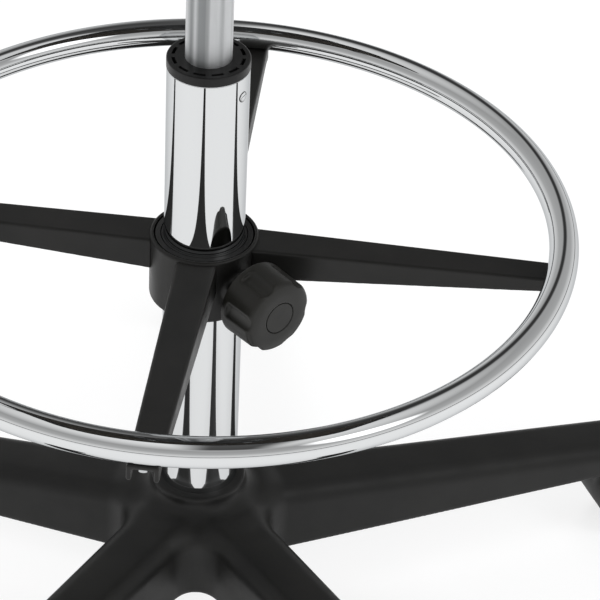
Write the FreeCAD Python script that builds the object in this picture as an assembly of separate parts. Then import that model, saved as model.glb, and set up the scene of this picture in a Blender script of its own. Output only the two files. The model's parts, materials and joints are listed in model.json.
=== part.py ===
# A drafting chair: five-leg base on twin-wheel casters, gas-lift column, clamped foot ring,
# seat mechanism with height lever, padded seat and padded back on a sliding bar.
# Millimetres. Origin on the floor under the column axis, +Z up, the sitter faces -Y.
import FreeCAD, Part
import math
import os

V = FreeCAD.Vector
UP = V(0, 0, 1)
ORIGIN = V(0, 0, 0)

# ---- driving dimensions ------------------------------------------------------------------
RUN_FIT = 0.05            # radial clearance of a shaft turning or sliding in its hole
PLAY = 0.3                # gap between pieces that pass each other

# casters
WHEEL_D = 50.0
WHEEL_W = 17.0
CASTER_PLATE_T = 11.0     # middle plate of the hood, between the two wheels
WHEEL_GAP = 0.5           # between the plate and each wheel
CASTER_TRAIL = 18.0       # swivel axis to axle
CASTER_AXLE_D = 8.0
AXLE_SKIN = 3.0           # wheel face left over the axle's end
CASTER_HEIGHT = 56.3      # floor to the underside of a leg's end
HOOD_WALL = 1.6
HOOD_GAP = 1.2            # wheel to hood
STEM_D = 11.0
STEM_L = 19.0
STEM_PIN_D = 7.0
CASTER_AZIMUTHS = (20.0, 90.0, 215.0, 250.0, 300.0)   # where each caster trails

# base star
LEG_COUNT = 5
LEG_FIRST_AZ = 18.0
LEG_REACH = 300.0         # column axis to caster stem
LEG_ROOT = 60.0           # where the root section is taken
LEG_ROOT_FOOT_W = 50.0
LEG_ROOT_TOP_W = 41.0
LEG_ROOT_TOP_Z = 97.5
LEG_ROOT_FOOT_Z = 54.1
LEG_TIP_FOOT_W = 40.0
LEG_TIP_TOP_W = 38.4
LEG_TIP_TOP_Z = 77.3
LEG_SHOULDER_R = 8.0
LEG_CROWN = 1.2           # rise of the top between its shoulders
LEG_WALL = 4.0
RIB_T = 2.5
LEG_START = 20.0          # legs begin inside the hub
BASE_HUB_R = 52.0
BASE_HUB_TOP_Z = 116.0
SOCKET_WALL = 6.0

# column
COLUMN_D = 50.0
COLUMN_WALL = 2.0
COLUMN_TOP_Z = 428.0
COLUMN_FOOT_Z = 50.0
TAPER_START = 8.0         # above the hub's top
TAPER_DEG = 1.32
END_PLATE_T = 3.0
BUSH_CAP_D = 50.4
BUSH_CAP_T = 6.0
BUSH_SLEEVE_L = 90.0
BUSH_SLOTS = 12
BUSH_SLOT_R = 21.1        # mid radius of the slots
BUSH_SLOT_W = 2.0
RIVET_AZ = -34.0
RIVET_DROP = 13.0         # below the tube's rim
RIVET_D = 6.0
RIVET_STANDS = 0.9        # rivet head proud of the tube

# gas spring
CYL_D = 28.2
CYL_WALL = 1.6
CYL_FOOT_Z = 338.0        # fully extended
CYL_L = 400.0
CYL_END_T = 14.0          # seal and guide at the cylinder's foot
CYL_HEAD_T = 38.0         # valve block at its head
CONE_L = 45.0             # tapered head
CONE_DEG = 1.5
ROD_D = 10.0
ROD_SPIGOT_D = 8.0
ROD_FOOT_Z = 42.0
PISTON_T = 10.0
RACE_D = 28.0
RACE_T = 2.0
BALL_D = 4.8
BALLS = 10
BALL_PLAY = 0.02
CAGE_T = 1.4
BUFFER_L = 12.0
BUFFER_D = 24.0
CLIP_T = 2.0
PIN_D = 8.0               # release pin
PIN_RISE = 6.0
PIN_TRAVEL = 3.1

# foot ring
RING_PLANE_Z = 314.0
RING_R = 221.0            # centreline radius
RING_TUBE_D = 18.2
RING_TUBE_WALL = 1.5
SPOKES = 4
SPOKE_FIRST_AZ = -8.35
SPOKE_HUB_W = 25.0
SPOKE_TIP_W = 18.6
SPOKE_END_R = 226.0
SPOKE_HUB_DEPTH = 21.5
SPOKE_TIP_DEPTH = 8.5
SPOKE_TAB_DROP = 2.5
SPOKE_WEB_T = 3.0
SPOKE_WALL_T = 3.0
HUB_D = 67.4
HUB_H = 44.5
HUB_DROP = 7.5            # ring centreline to the hub's top
COLLAR_OD = 61.5
LINER_OD = 54.0
LINER_FLANGE_T = 3.0
LINER_FLANGE_D = 60.0
COLLAR_SEAT_T = 5.0
RING_SCREW_D = 4.0

# clamp knob
KNOB_AZ = -51.0
KNOB_Z = 284.5
KNOB_D = 49.0
KNOB_FACE_D = 43.0
KNOB_L = 27.0
KNOB_START = 47.0         # column axis to the knob's back
BOSS_D = 19.0
KNOB_FLUTES = 6
KNOB_FLUTE_W = 12.0
KNOB_FLUTE_DEPTH = 2.6
KNOB_TURN = 21.0          # first flute from straight up
KNOB_RIM_T = 4.0          # unfluted rim at the back
KNOB_CAP_D = 21.0
STUD_D = 10.0
SHOE_L = 3.0              # nylon shoe between the stud and the liner
SHOE_D = 9.0
SHOE_PLAY = 0.02          # stud's end to the shoe

# seat mechanism
MECH_W = 150.0
MECH_L = 190.0
MECH_PLATE_T = 3.0
MECH_DEPTH = 56.0
MECH_BOX_W = 84.0
SOCKET_D = 46.0
LEVER_D = 9.0
LEVER_PIVOT_X = -26.0     # pivot to column axis, sideways
LEVER_LEN = 225.0
LEVER_ROOM = 32.0         # lever to the board, for its swing
LEVER_PIVOT_D = 5.0
PIVOT_EAR_T = 5.0
GRIP_L = 70.0
GRIP_W = 26.0
GRIP_T = 13.0
BOLT_D = 6.0

# seat
SEAT_W = 480.0
SEAT_L = 460.0
SEAT_FRONT_Y = -235.0
BOARD_T = 12.0
BOARD_INSET = 14.0
CUSHION_T = 66.0
CUSHION_R = 85.0
CUSHION_EDGE_R = 20.0
ARM_SPACING = 100.0       # two threaded holes each side
ARM_HOLE_D = 8.0
ARM_OFFSET_X = 165.0

# back
BAR_W = 50.0
BAR_T = 8.0
BAR_BEND_R = 45.0
BAR_REAR_Y = 268.0
BAR_OVER_CARRIER = 85.0   # bar's end above the carrier's middle
SLEEVE_WALL = 3.0
SLEEVE_L = 90.0
SLEEVE_START = 28.0       # column axis to the sleeve's front
BAR_START = 53.0          # column axis to the bar's front end
CARRIER_H = 90.0
CARRIER_W = 74.0
CARRIER_WALL = 6.0
CARRIER_DROP = 95.0       # middle of the back to the carrier's middle
BACK_W = 420.0
BACK_H = 380.0
BACK_T = 62.0
BACK_GAP = 66.0           # seat top to the back's lower edge
BACK_SHELL_T = 9.0
BACK_CORNER_R = 90.0
SMALL_KNOB_D = 38.0
SMALL_KNOB_L = 20.0
SMALL_STUD_D = 10.0

# ---- dimensions that follow --------------------------------------------------------------
COLUMN_R = COLUMN_D / 2
CYL_R = CYL_D / 2
TAPER_TOP_Z = BASE_HUB_TOP_Z + TAPER_START
BEARING_Z = COLUMN_FOOT_Z + END_PLATE_T
BALL_MID_Z = BEARING_Z + RACE_T + BALL_PLAY + BALL_D / 2
UPPER_RACE_Z = BALL_MID_Z + BALL_D / 2 + BALL_PLAY
ROD_SHOULDER_Z = UPPER_RACE_Z + RACE_T
BALL_CIRCLE_R = (RACE_D + ROD_D) / 4 + 0.5
CYL_TOP_Z = CYL_FOOT_Z + CYL_L
PIN_TOP_Z = CYL_TOP_Z + PIN_RISE
LEVER_Z = PIN_TOP_Z + 0.1 + LEVER_D / 2
MECH_TOP_Z = LEVER_Z + LEVER_ROOM
HUB_TOP_Z = RING_PLANE_Z - HUB_DROP
HUB_FOOT_Z = HUB_TOP_Z - HUB_H
SPOKE_TOP_Z = RING_PLANE_Z - RING_TUBE_D / 2
SHOE_START = LINER_OD / 2 - 0.5
STUD_START = SHOE_START + SHOE_L + SHOE_PLAY
BOARD_FOOT_Z = MECH_TOP_Z
SEAT_FOOT_Z = BOARD_FOOT_Z + BOARD_T
MECH_FOOT_Z = MECH_TOP_Z - MECH_DEPTH
AXLE_Z = WHEEL_D / 2
BAR_MID_Z = MECH_FOOT_Z - SLEEVE_WALL - RUN_FIT - BAR_T / 2
BACK_MID_Z = SEAT_FOOT_Z + CUSHION_T + BACK_GAP + BACK_H / 2
CARRIER_MID_Z = BACK_MID_Z - CARRIER_DROP
BAR_TOP_Z = CARRIER_MID_Z + BAR_OVER_CARRIER


# ---- helpers -----------------------------------------------------------------------------
def cylinder(radius, height, z, x=0.0, y=0.0):
    return Part.makeCylinder(radius, height, V(x, y, z))


def tube(outer_r, inner_r, height, z):
    return cylinder(outer_r, height, z).cut(cylinder(inner_r, height + 2, z - 1))


def block(size_x, size_y, size_z, centre_x, centre_y, z):
    return Part.makeBox(size_x, size_y, size_z, V(centre_x - size_x / 2, centre_y - size_y / 2, z))


def turned(shape, degrees, centre=ORIGIN, axis=UP):
    copy = shape.copy()
    copy.rotate(centre, axis, degrees)
    return copy


def moved(shape, x, y, z):
    copy = shape.copy()
    copy.translate(V(x, y, z))
    return copy


def line(a, b):
    return Part.LineSegment(a, b).toShape()


def arc(a, middle, b):
    return Part.Arc(a, middle, b).toShape()


def polygon(points):
    return Part.makePolygon(list(points) + [points[0]])


def revolved(wire):
    return Part.Face(wire).revolve(ORIGIN, UP, 360)


def lathe(points):
    """Solid of revolution about Z from (radius, z) corners."""
    return revolved(polygon([V(r, 0, z) for r, z in points]))


def fused(first, *others):
    return first.fuse(list(others)).removeSplitter() if others else first


def around(shape, count, first_az):
    return [turned(shape, first_az + k * 360.0 / count) for k in range(count)]


def rounded_plan(width, length, radius, z, front_y):
    """Wire of a rounded rectangle, symmetric in X, starting at front_y."""
    w, y0, y1, r = width / 2, front_y, front_y + length, radius
    k = r * (1 - math.sqrt(0.5))
    corners = ((w - r, y0, w - k, y0 + k, w, y0 + r), (w, y1 - r, w - k, y1 - k, w - r, y1),
               (r - w, y1, k - w, y1 - k, -w, y1 - r), (-w, y0 + r, k - w, y0 + k, r - w, y0))
    edges = []
    for i, (ax, ay, mx, my, bx, by) in enumerate(corners):
        nx, ny = corners[(i + 1) % 4][:2]
        edges.append(arc(V(ax, ay, z), V(mx, my, z), V(bx, by, z)))
        edges.append(line(V(bx, by, z), V(nx, ny, z)))
    return Part.Wire(edges)


def fluted_knob(diameter, face_d, length, flutes, flute_w, flute_depth, rim_t):
    """Knob on +Z with its back at z = 0: rounded face, concave flutes that stop at a back rim."""
    r, f = diameter / 2, face_d / 2
    drop = r - f
    side_end = V(r, 0, length - drop)
    face_mid = V(r - drop * 0.29, 0, length - drop * 0.29)
    wire = Part.Wire([
        line(V(0, 0, 0), V(r - 1, 0, 0)),
        line(V(r - 1, 0, 0), V(r, 0, 1)),
        line(V(r, 0, 1), side_end),
        arc(side_end, face_mid, V(f, 0, length)),
        line(V(f, 0, length), V(0, 0, length)),
        line(V(0, 0, length), V(0, 0, 0))])
    body = revolved(wire)
    cut_r = (flute_w ** 2 / 4 + flute_depth ** 2) / (2 * flute_depth)
    cutter = cylinder(cut_r, length, rim_t, r - flute_depth + cut_r, 0)
    return body.cut(around(cutter, flutes, 0.0))


def toward(shape, azimuth, z):
    """Lay a shape built along +Z down along a horizontal azimuth, at height z."""
    laid = turned(shape, 90, ORIGIN, V(0, 1, 0))
    return moved(turned(laid, azimuth), 0, 0, z)


# ---- base --------------------------------------------------------------------------------
def leg_section(x, foot_w, top_w, foot_z, top_z, crown, shoulder, close_below=0.0):
    """Closed leg outline in the plane at x: drafted sides, rounded shoulders, crowned top."""
    a, b = foot_w / 2, top_w / 2
    foot = foot_z - close_below
    k = shoulder * (1 - math.sqrt(0.5))
    return Part.Wire([
        line(V(x, -a, foot), V(x, a, foot)),
        line(V(x, a, foot), V(x, b, top_z - shoulder)),
        arc(V(x, b, top_z - shoulder), V(x, b - k, top_z - k), V(x, b - shoulder, top_z)),
        arc(V(x, b - shoulder, top_z), V(x, 0, top_z + crown), V(x, shoulder - b, top_z)),
        arc(V(x, shoulder - b, top_z), V(x, k - b, top_z - k), V(x, -b, top_z - shoulder)),
        line(V(x, -b, top_z - shoulder), V(x, -a, foot))])


def leg_loft(inset, start_x, close_below):
    """Leg from start_x to the caster axis, shrunk inward by inset."""
    top_slope = (LEG_TIP_TOP_Z - LEG_ROOT_TOP_Z) / (LEG_REACH - LEG_ROOT)
    foot_slope = (CASTER_HEIGHT - LEG_ROOT_FOOT_Z) / (LEG_REACH - LEG_ROOT)
    foot_w_slope = (LEG_TIP_FOOT_W - LEG_ROOT_FOOT_W) / (LEG_REACH - LEG_ROOT)
    top_w_slope = (LEG_TIP_TOP_W - LEG_ROOT_TOP_W) / (LEG_REACH - LEG_ROOT)
    wires = []
    for x in (start_x, LEG_REACH):
        past = x - LEG_ROOT
        foot_w = LEG_ROOT_FOOT_W + foot_w_slope * past - 2 * inset
        top_w = LEG_ROOT_TOP_W + top_w_slope * past - 2 * inset
        foot_z = LEG_ROOT_FOOT_Z + foot_slope * past
        top_z = LEG_ROOT_TOP_Z + top_slope * past - inset
        shoulder = LEG_SHOULDER_R - inset
        wires.append(leg_section(x, foot_w, top_w, foot_z, top_z, LEG_CROWN, shoulder, close_below))
    return Part.makeLoft(wires, True, True)


def leg_tip(inset, close_below):
    """Round end of a leg about the caster axis."""
    a, b = LEG_TIP_FOOT_W / 2 - inset, LEG_TIP_TOP_W / 2 - inset
    top, s = LEG_TIP_TOP_Z - inset, LEG_SHOULDER_R - inset
    foot = CASTER_HEIGHT - close_below
    k = s * (1 - math.sqrt(0.5))
    wire = Part.Wire([
        line(V(0, 0, foot), V(a, 0, foot)),
        line(V(a, 0, foot), V(b, 0, top - s)),
        arc(V(b, 0, top - s), V(b - k, 0, top - k), V(b - s, 0, top)),
        line(V(b - s, 0, top), V(0, 0, top + LEG_CROWN)),
        line(V(0, 0, top + LEG_CROWN), V(0, 0, foot))])
    return moved(revolved(wire), LEG_REACH, 0, 0)


def column_taper(offset):
    """Solid cone of the column's foot, offset outward, from its end to the taper's start."""
    run = TAPER_TOP_Z - COLUMN_FOOT_Z
    foot_r = COLUMN_R - run * math.tan(math.radians(TAPER_DEG))
    return Part.makeCone(foot_r + offset, COLUMN_R + offset, run, V(0, 0, COLUMN_FOOT_Z))


def base_hub():
    """Hub of the star: drum, rounded shoulder and concave neck up to a collar round the column."""
    rim = COLUMN_R + 5.0
    neck = BASE_HUB_TOP_Z - 1.0
    shoulder_z = LEG_ROOT_TOP_Z + 2.5
    foot = V(BASE_HUB_R, 0, LEG_ROOT_FOOT_Z)
    drum_top = V(BASE_HUB_R, 0, shoulder_z - 10)
    shoulder = V(BASE_HUB_R - 9, 0, shoulder_z + 1)
    wire = Part.Wire([
        line(V(0, 0, LEG_ROOT_FOOT_Z), foot),
        line(foot, drum_top),
        arc(drum_top, V(BASE_HUB_R - 2.6, 0, shoulder_z - 2.8), shoulder),
        arc(shoulder, V(rim + 5, 0, neck - 8), V(rim + 1, 0, neck)),
        line(V(rim + 1, 0, neck), V(rim, 0, BASE_HUB_TOP_Z)),
        line(V(rim, 0, BASE_HUB_TOP_Z), V(0, 0, BASE_HUB_TOP_Z)),
        line(V(0, 0, BASE_HUB_TOP_Z), V(0, 0, LEG_ROOT_FOOT_Z))])
    return revolved(wire)


def base_star():
    solid_leg = leg_loft(0.0, LEG_START, 0.0).fuse(leg_tip(0.0, 0.0))
    star = base_hub()
    for leg in around(solid_leg, LEG_COUNT, LEG_FIRST_AZ):
        star = star.fuse(leg)
    pocket_start = COLUMN_R + SOCKET_WALL
    hollow = leg_loft(LEG_WALL, pocket_start, 2.0)
    stem_boss = cylinder(STEM_D / 2 + LEG_WALL, LEG_TIP_TOP_Z, 0, LEG_REACH, 0)
    ribs_x = [pocket_start + 60 + 55 * k for k in range(4)]
    cross_ribs = [block(RIB_T, LEG_ROOT_FOOT_W * 2, LEG_TIP_TOP_Z * 2, x, 0, 0) for x in ribs_x]
    spine = block(LEG_REACH, RIB_T, LEG_TIP_TOP_Z * 2, LEG_REACH / 2, 0, 0)
    hollow = hollow.cut(cross_ribs + [spine, stem_boss])
    star = star.cut(around(hollow, LEG_COUNT, LEG_FIRST_AZ))
    stem_hole = cylinder(STEM_D / 2, STEM_L + 0.5, CASTER_HEIGHT - 1, LEG_REACH, 0)
    star = star.cut(around(stem_hole, LEG_COUNT, LEG_FIRST_AZ))
    return star.cut(column_taper(0.0)).cut(cylinder(COLUMN_R, TAPER_START, BASE_HUB_TOP_Z + 0.001))


def column_tube():
    inner = COLUMN_R - COLUMN_WALL
    shell = fused(cylinder(COLUMN_R, COLUMN_TOP_Z - TAPER_TOP_Z, TAPER_TOP_Z), column_taper(0.0))
    bore = fused(cylinder(inner, COLUMN_TOP_Z - TAPER_TOP_Z + 1, TAPER_TOP_Z), column_taper(-COLUMN_WALL))
    bore = bore.cut(cylinder(COLUMN_R, END_PLATE_T, COLUMN_FOOT_Z))
    shell = shell.cut(bore).cut(cylinder(ROD_SPIGOT_D / 2 + RUN_FIT, END_PLATE_T + 2, COLUMN_FOOT_Z - 1))
    return shell.cut(bush_rivet())


def bush_slots():
    """Ring of blind arc slots in the bush's top face."""
    half = BUSH_SLOT_W / 2
    ring = tube(BUSH_SLOT_R + half, BUSH_SLOT_R - half, BUSH_CAP_T, COLUMN_TOP_Z + 1.5)
    bridge = block(2 * COLUMN_R, 3.6, BUSH_CAP_T * 2, COLUMN_R, 0, COLUMN_TOP_Z)
    return ring.cut(around(bridge, BUSH_SLOTS, 0.0))


def column_bush():
    cap = cylinder(BUSH_CAP_D / 2, BUSH_CAP_T, COLUMN_TOP_Z)
    rim = [e for e in cap.Edges if e.BoundBox.ZMin > COLUMN_TOP_Z + BUSH_CAP_T - 0.1]
    cap = cap.makeFillet(0.8, rim)
    sleeve_foot = COLUMN_TOP_Z - BUSH_SLEEVE_L
    sleeve = cylinder(COLUMN_R - COLUMN_WALL, BUSH_SLEEVE_L, sleeve_foot)
    bore = cylinder(CYL_R + RUN_FIT, BUSH_SLEEVE_L + BUSH_CAP_T + 2, sleeve_foot - 1)
    return fused(cap, sleeve).cut([bore, bush_slots(), bush_rivet()])


def bush_rivet():
    """Domed rivet through the tube's wall into the bush."""
    shank = cylinder(RIVET_D / 2 - 1, 5.0, COLUMN_R - 4.0)
    dome = Part.makeSphere(RIVET_D, V(0, 0, COLUMN_R + RIVET_STANDS - RIVET_D))
    head = dome.common(cylinder(RIVET_D / 2, 3, COLUMN_R - RIVET_STANDS))
    return toward(fused(shank, head), RIVET_AZ, COLUMN_TOP_Z - RIVET_DROP)


def race(z, hole_d):
    ring = tube(RACE_D / 2, hole_d / 2, RACE_T, z)
    return ring.makeChamfer(0.3, [e for e in ring.Edges if e.Curve.TypeId == "Part::GeomCircle"])


def bearing_lower_race():
    return race(BEARING_Z, ROD_SPIGOT_D + 2 * PLAY)


def bearing_upper_race():
    return race(UPPER_RACE_Z, ROD_SPIGOT_D)


def bearing_cage():
    cage = tube(RACE_D / 2 - 0.6, ROD_SPIGOT_D / 2 + PLAY, CAGE_T, BALL_MID_Z - CAGE_T / 2)
    balls = around(Part.makeSphere(BALL_D / 2, V(BALL_CIRCLE_R, 0, BALL_MID_Z)), BALLS, 0.0)
    pocket = cylinder(BALL_D / 2 + RUN_FIT, CAGE_T + 2, BALL_MID_Z - CAGE_T, BALL_CIRCLE_R, 0)
    return Part.makeCompound([cage.cut(around(pocket, BALLS, 0.0))] + balls)


def piston_rod():
    piston_z = CYL_FOOT_Z + CYL_END_T + PLAY
    rod = fused(cylinder(ROD_SPIGOT_D / 2, ROD_SHOULDER_Z - ROD_FOOT_Z, ROD_FOOT_Z),
                cylinder(ROD_D / 2, piston_z - ROD_SHOULDER_Z, ROD_SHOULDER_Z),
                cylinder(CYL_R - CYL_WALL - RUN_FIT, PISTON_T, piston_z))
    return rod.cut(tube(ROD_SPIGOT_D, ROD_SPIGOT_D / 2 - 1, CLIP_T, COLUMN_FOOT_Z - CLIP_T - RUN_FIT))


def retaining_clip():
    z = COLUMN_FOOT_Z - CLIP_T - RUN_FIT
    clip = tube(8.0, ROD_SPIGOT_D / 2 - 1, CLIP_T, z)
    clip = clip.cut(block(12.0, 4.4, CLIP_T * 2, 8.0, 0, z - 1))
    return clip.cut([cylinder(1.0, CLIP_T * 2, z - 1, 5.6, 4.6), cylinder(1.0, CLIP_T * 2, z - 1, 5.6, -4.6)])


def rebound_buffer():
    """Barrel-shaped rubber stop round the rod's foot."""
    end_r = BUFFER_D / 2 - 2.5
    bulge = lathe([(ROD_D / 2, 0), (end_r, 0), (BUFFER_D / 2, BUFFER_L * 0.3),
                   (BUFFER_D / 2, BUFFER_L * 0.7), (end_r, BUFFER_L), (ROD_D / 2, BUFFER_L)])
    return moved(bulge, 0, 0, ROD_SHOULDER_Z)


# ---- gas cylinder ------------------------------------------------------------------------
def cone_drop():
    return CONE_L * math.tan(math.radians(CONE_DEG))


def cylinder_outer(extra):
    """Cylinder's outside with its tapered head, offset outward by extra."""
    straight = cylinder(CYL_R + extra, CYL_L - CONE_L, CYL_FOOT_Z)
    head = Part.makeCone(CYL_R + extra, CYL_R + extra - cone_drop(), CONE_L, V(0, 0, CYL_TOP_Z - CONE_L))
    return fused(straight, head)


def gas_cylinder():
    bore = cylinder(CYL_R - CYL_WALL, CYL_L - CYL_END_T - CYL_HEAD_T, CYL_FOOT_Z + CYL_END_T)
    rod_hole = cylinder(ROD_D / 2 + RUN_FIT, CYL_END_T + 2, CYL_FOOT_Z - 1)
    pin_hole = cylinder(PIN_D / 2 + RUN_FIT, CYL_HEAD_T, CYL_TOP_Z - CYL_HEAD_T + PIN_RISE)
    return cylinder_outer(0.0).cut([bore, rod_hole, pin_hole])


def release_pin():
    length = CYL_HEAD_T - PIN_TRAVEL - 1.0
    pin = cylinder(PIN_D / 2, length, PIN_TOP_Z - length)
    return pin.makeChamfer(0.8, [e for e in pin.Edges if e.BoundBox.ZMin > PIN_TOP_Z - 0.1])


# ---- foot ring ---------------------------------------------------------------------------
def foot_ring():
    outer = Part.makeTorus(RING_R, RING_TUBE_D / 2, V(0, 0, RING_PLANE_Z))
    inner = Part.makeTorus(RING_R, RING_TUBE_D / 2 - RING_TUBE_WALL, V(0, 0, RING_PLANE_Z))
    hole = cylinder(RING_SCREW_D / 2, RING_TUBE_D / 2, SPOKE_TOP_Z - 1, RING_R, 0)
    return outer.cut([inner] + around(hole, SPOKES, SPOKE_FIRST_AZ))


def spoke():
    """One U-channel spoke along +X, open below, with a saddle and end tabs under the ring tube."""
    inner_x, outer_x = HUB_D / 2 - 3.0, SPOKE_END_R
    top = SPOKE_TOP_Z

    def section(x, width, depth, low):
        return polygon([V(x, -width / 2, top - low), V(x, width / 2, top - low),
                        V(x, width / 2, top - depth), V(x, -width / 2, top - depth)])

    hollow_w = 2 * SPOKE_WALL_T
    outer = Part.makeLoft([section(inner_x, SPOKE_HUB_W, SPOKE_HUB_DEPTH, 0),
                           section(outer_x, SPOKE_TIP_W, SPOKE_TIP_DEPTH, 0)], True, True)
    inner = Part.makeLoft([
        section(inner_x, SPOKE_HUB_W - hollow_w, SPOKE_HUB_DEPTH + 5, SPOKE_WEB_T),
        section(outer_x + 1, SPOKE_TIP_W - hollow_w, SPOKE_TIP_DEPTH + 5, SPOKE_WEB_T)], True, True)
    tabs = Part.makeLoft([
        section(outer_x - 12, SPOKE_TIP_W + 0.4, SPOKE_TIP_DEPTH, 2),
        section(outer_x, SPOKE_TIP_W, SPOKE_TIP_DEPTH + SPOKE_TAB_DROP, 2)], True, True)
    saddle = block(20.0, SPOKE_TIP_W, SPOKE_WEB_T + 3.0, RING_R - 4.0, 0, top - SPOKE_WEB_T)
    saddle = saddle.cut(Part.makeTorus(RING_R, RING_TUBE_D / 2, V(0, 0, RING_PLANE_Z)))
    whole = fused(outer, tabs, saddle).cut(inner)
    return whole.cut(cylinder(RING_SCREW_D / 2 + 0.2, SPOKE_WEB_T + 6, top - SPOKE_WEB_T - 1, RING_R, 0))


def knob_boss(radius, start, end):
    return toward(cylinder(radius, end - start, start), KNOB_AZ, KNOB_Z)


def ring_spider():
    hub = cylinder(HUB_D / 2, HUB_H, HUB_FOOT_Z)
    hub = hub.makeFillet(1.5, [e for e in hub.Edges if e.Curve.TypeId == "Part::GeomCircle"])
    boss = knob_boss(BOSS_D / 2, COLUMN_R, KNOB_START - 1.0)
    body = fused(hub, boss, *around(spoke(), SPOKES, SPOKE_FIRST_AZ))
    body = body.cut(cylinder(LINER_OD / 2 + RUN_FIT, HUB_H + 2, HUB_FOOT_Z - 1))
    body = body.cut(cylinder(COLLAR_OD / 2, COLLAR_SEAT_T + 1, HUB_TOP_Z - COLLAR_SEAT_T))
    return body.cut(knob_boss(STUD_D / 2 + RUN_FIT, 20.0, KNOB_START))


def ring_collar():
    foot = HUB_TOP_Z - COLLAR_SEAT_T
    collar = tube(COLLAR_OD / 2 - RUN_FIT, LINER_OD / 2 + RUN_FIT, COLLAR_SEAT_T - 0.5, foot)
    rims = [e for e in collar.Edges if e.BoundBox.ZMin > foot + 1.0 and e.Curve.TypeId == "Part::GeomCircle"]
    return collar.makeChamfer(0.5, rims)


def ring_liner():
    """Sleeve on the column that the hub turns on; its foot flange carries the hub."""
    foot = HUB_FOOT_Z - LINER_FLANGE_T
    body = fused(cylinder(LINER_OD / 2, HUB_H + LINER_FLANGE_T - 0.5, foot),
                 cylinder(LINER_FLANGE_D / 2, LINER_FLANGE_T - RUN_FIT, foot))
    return body.cut(cylinder(COLUMN_R + RUN_FIT, HUB_H + LINER_FLANGE_T + 2, foot - 1))


def ring_screws():
    """Four self-tapping screws up through the spokes' webs into the ring tube."""
    web_foot = SPOKE_TOP_Z - SPOKE_WEB_T
    shank = cylinder(RING_SCREW_D / 2, SPOKE_WEB_T + RING_TUBE_WALL + 1.0, web_foot, RING_R, 0)
    head = cylinder(RING_SCREW_D, 2.2, web_foot - 2.2, RING_R, 0)
    slot = block(RING_SCREW_D * 1.4, 0.9, 1.0, RING_R, 0, web_foot - 2.6)
    return Part.makeCompound(around(fused(shank, head).cut(slot), SPOKES, SPOKE_FIRST_AZ))


def clamp_knob():
    knob = fluted_knob(KNOB_D, KNOB_FACE_D, KNOB_L, KNOB_FLUTES, KNOB_FLUTE_W, KNOB_FLUTE_DEPTH,
                       KNOB_RIM_T)
    knob = knob.cut(cylinder(KNOB_CAP_D / 2, 3.0, KNOB_L - 2.0))
    knob = knob.cut(cylinder(STUD_D / 2, KNOB_L - 6.0, -1.0))
    return toward(moved(turned(knob, KNOB_TURN), 0, 0, KNOB_START), KNOB_AZ, KNOB_Z)


def knob_cap():
    cap = cylinder(KNOB_CAP_D / 2 - 0.15, 2.4, 0)
    cap = cap.makeFillet(0.5, [e for e in cap.Edges if e.BoundBox.ZMin > 2.3])
    return toward(moved(cap, 0, 0, KNOB_START + KNOB_L - 2.0), KNOB_AZ, KNOB_Z)


def clamp_shoe():
    """Nylon shoe on the stud's tip, hollowed to the liner."""
    shoe = toward(cylinder(SHOE_D / 2, SHOE_L, SHOE_START), KNOB_AZ, KNOB_Z)
    return shoe.cut(cylinder(LINER_OD / 2 + RUN_FIT, 2 * SHOE_D, KNOB_Z - SHOE_D))


def clamp_stud():
    length = KNOB_START + KNOB_L - 7.0 - STUD_START
    return toward(cylinder(STUD_D / 2, length, STUD_START), KNOB_AZ, KNOB_Z)


# ---- casters -----------------------------------------------------------------------------
def caster_place(shape, index):
    """Put a caster piece, built about its swivel axis trailing to +X, under leg number index."""
    placed = turned(shape, CASTER_AZIMUTHS[index])
    az = math.radians(LEG_FIRST_AZ + index * 360.0 / LEG_COUNT)
    return moved(placed, LEG_REACH * math.cos(az), LEG_REACH * math.sin(az), 0)


def across(shape):
    """Turn a shape built along +Z to lie along +Y through the axle."""
    return moved(turned(shape, -90, ORIGIN, V(1, 0, 0)), CASTER_TRAIL, 0, AXLE_Z)


def caster_stem():
    pin_foot = AXLE_Z + CASTER_AXLE_D / 2 + 3.0
    stem = fused(cylinder(STEM_D / 2, STEM_L - 0.5, CASTER_HEIGHT),
                 cylinder(8.0, 2.0, CASTER_HEIGHT - 2.0),
                 cylinder(STEM_PIN_D / 2, CASTER_HEIGHT - 2.0 - pin_foot, pin_foot))
    groove = tube(STEM_D, STEM_D / 2 - 0.8, 2.0, CASTER_HEIGHT + STEM_L - 6.0)
    return stem.cut(groove)


def caster_hood():
    inner_r = WHEEL_D / 2 + HOOD_GAP
    outer_r = inner_r + HOOD_WALL
    half_w = CASTER_PLATE_T / 2 + WHEEL_GAP + WHEEL_W
    shell = cylinder(outer_r, 2 * half_w, -half_w).cut(cylinder(inner_r, 2 * half_w + 2, -half_w - 1))
    reach = 2 * outer_r
    keep = Part.Face(polygon([V(0, 0, 0), V(reach, -reach * 0.75, 0), V(reach * 0.2, -reach, 0),
                              V(-reach, -reach, 0), V(-reach, reach * 0.12, 0)]))
    shell = shell.common(moved(keep.extrude(V(0, 0, 2 * half_w + 2)), 0, 0, -half_w - 1))
    plate = cylinder(outer_r, CASTER_PLATE_T, -CASTER_PLATE_T / 2)
    plate = plate.common(moved(keep.extrude(V(0, 0, CASTER_PLATE_T)), 0, 0, -CASTER_PLATE_T / 2))
    eye = cylinder(CASTER_AXLE_D / 2 + 4, CASTER_PLATE_T, -CASTER_PLATE_T / 2)
    body = across(fused(shell, plate, eye))
    crown = cylinder(CASTER_PLATE_T / 2, CASTER_HEIGHT - 2.0 - PLAY - AXLE_Z, AXLE_Z)
    body = fused(body, crown)
    body = body.cut(cylinder(STEM_PIN_D / 2 + RUN_FIT, CASTER_HEIGHT, AXLE_Z + CASTER_AXLE_D / 2 + 2.0))
    body = body.cut(cylinder(20.0, 20.0, CASTER_HEIGHT - 2.0 - PLAY))
    return body.cut(across(cylinder(CASTER_AXLE_D / 2, 60.0, -30.0)))


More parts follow.
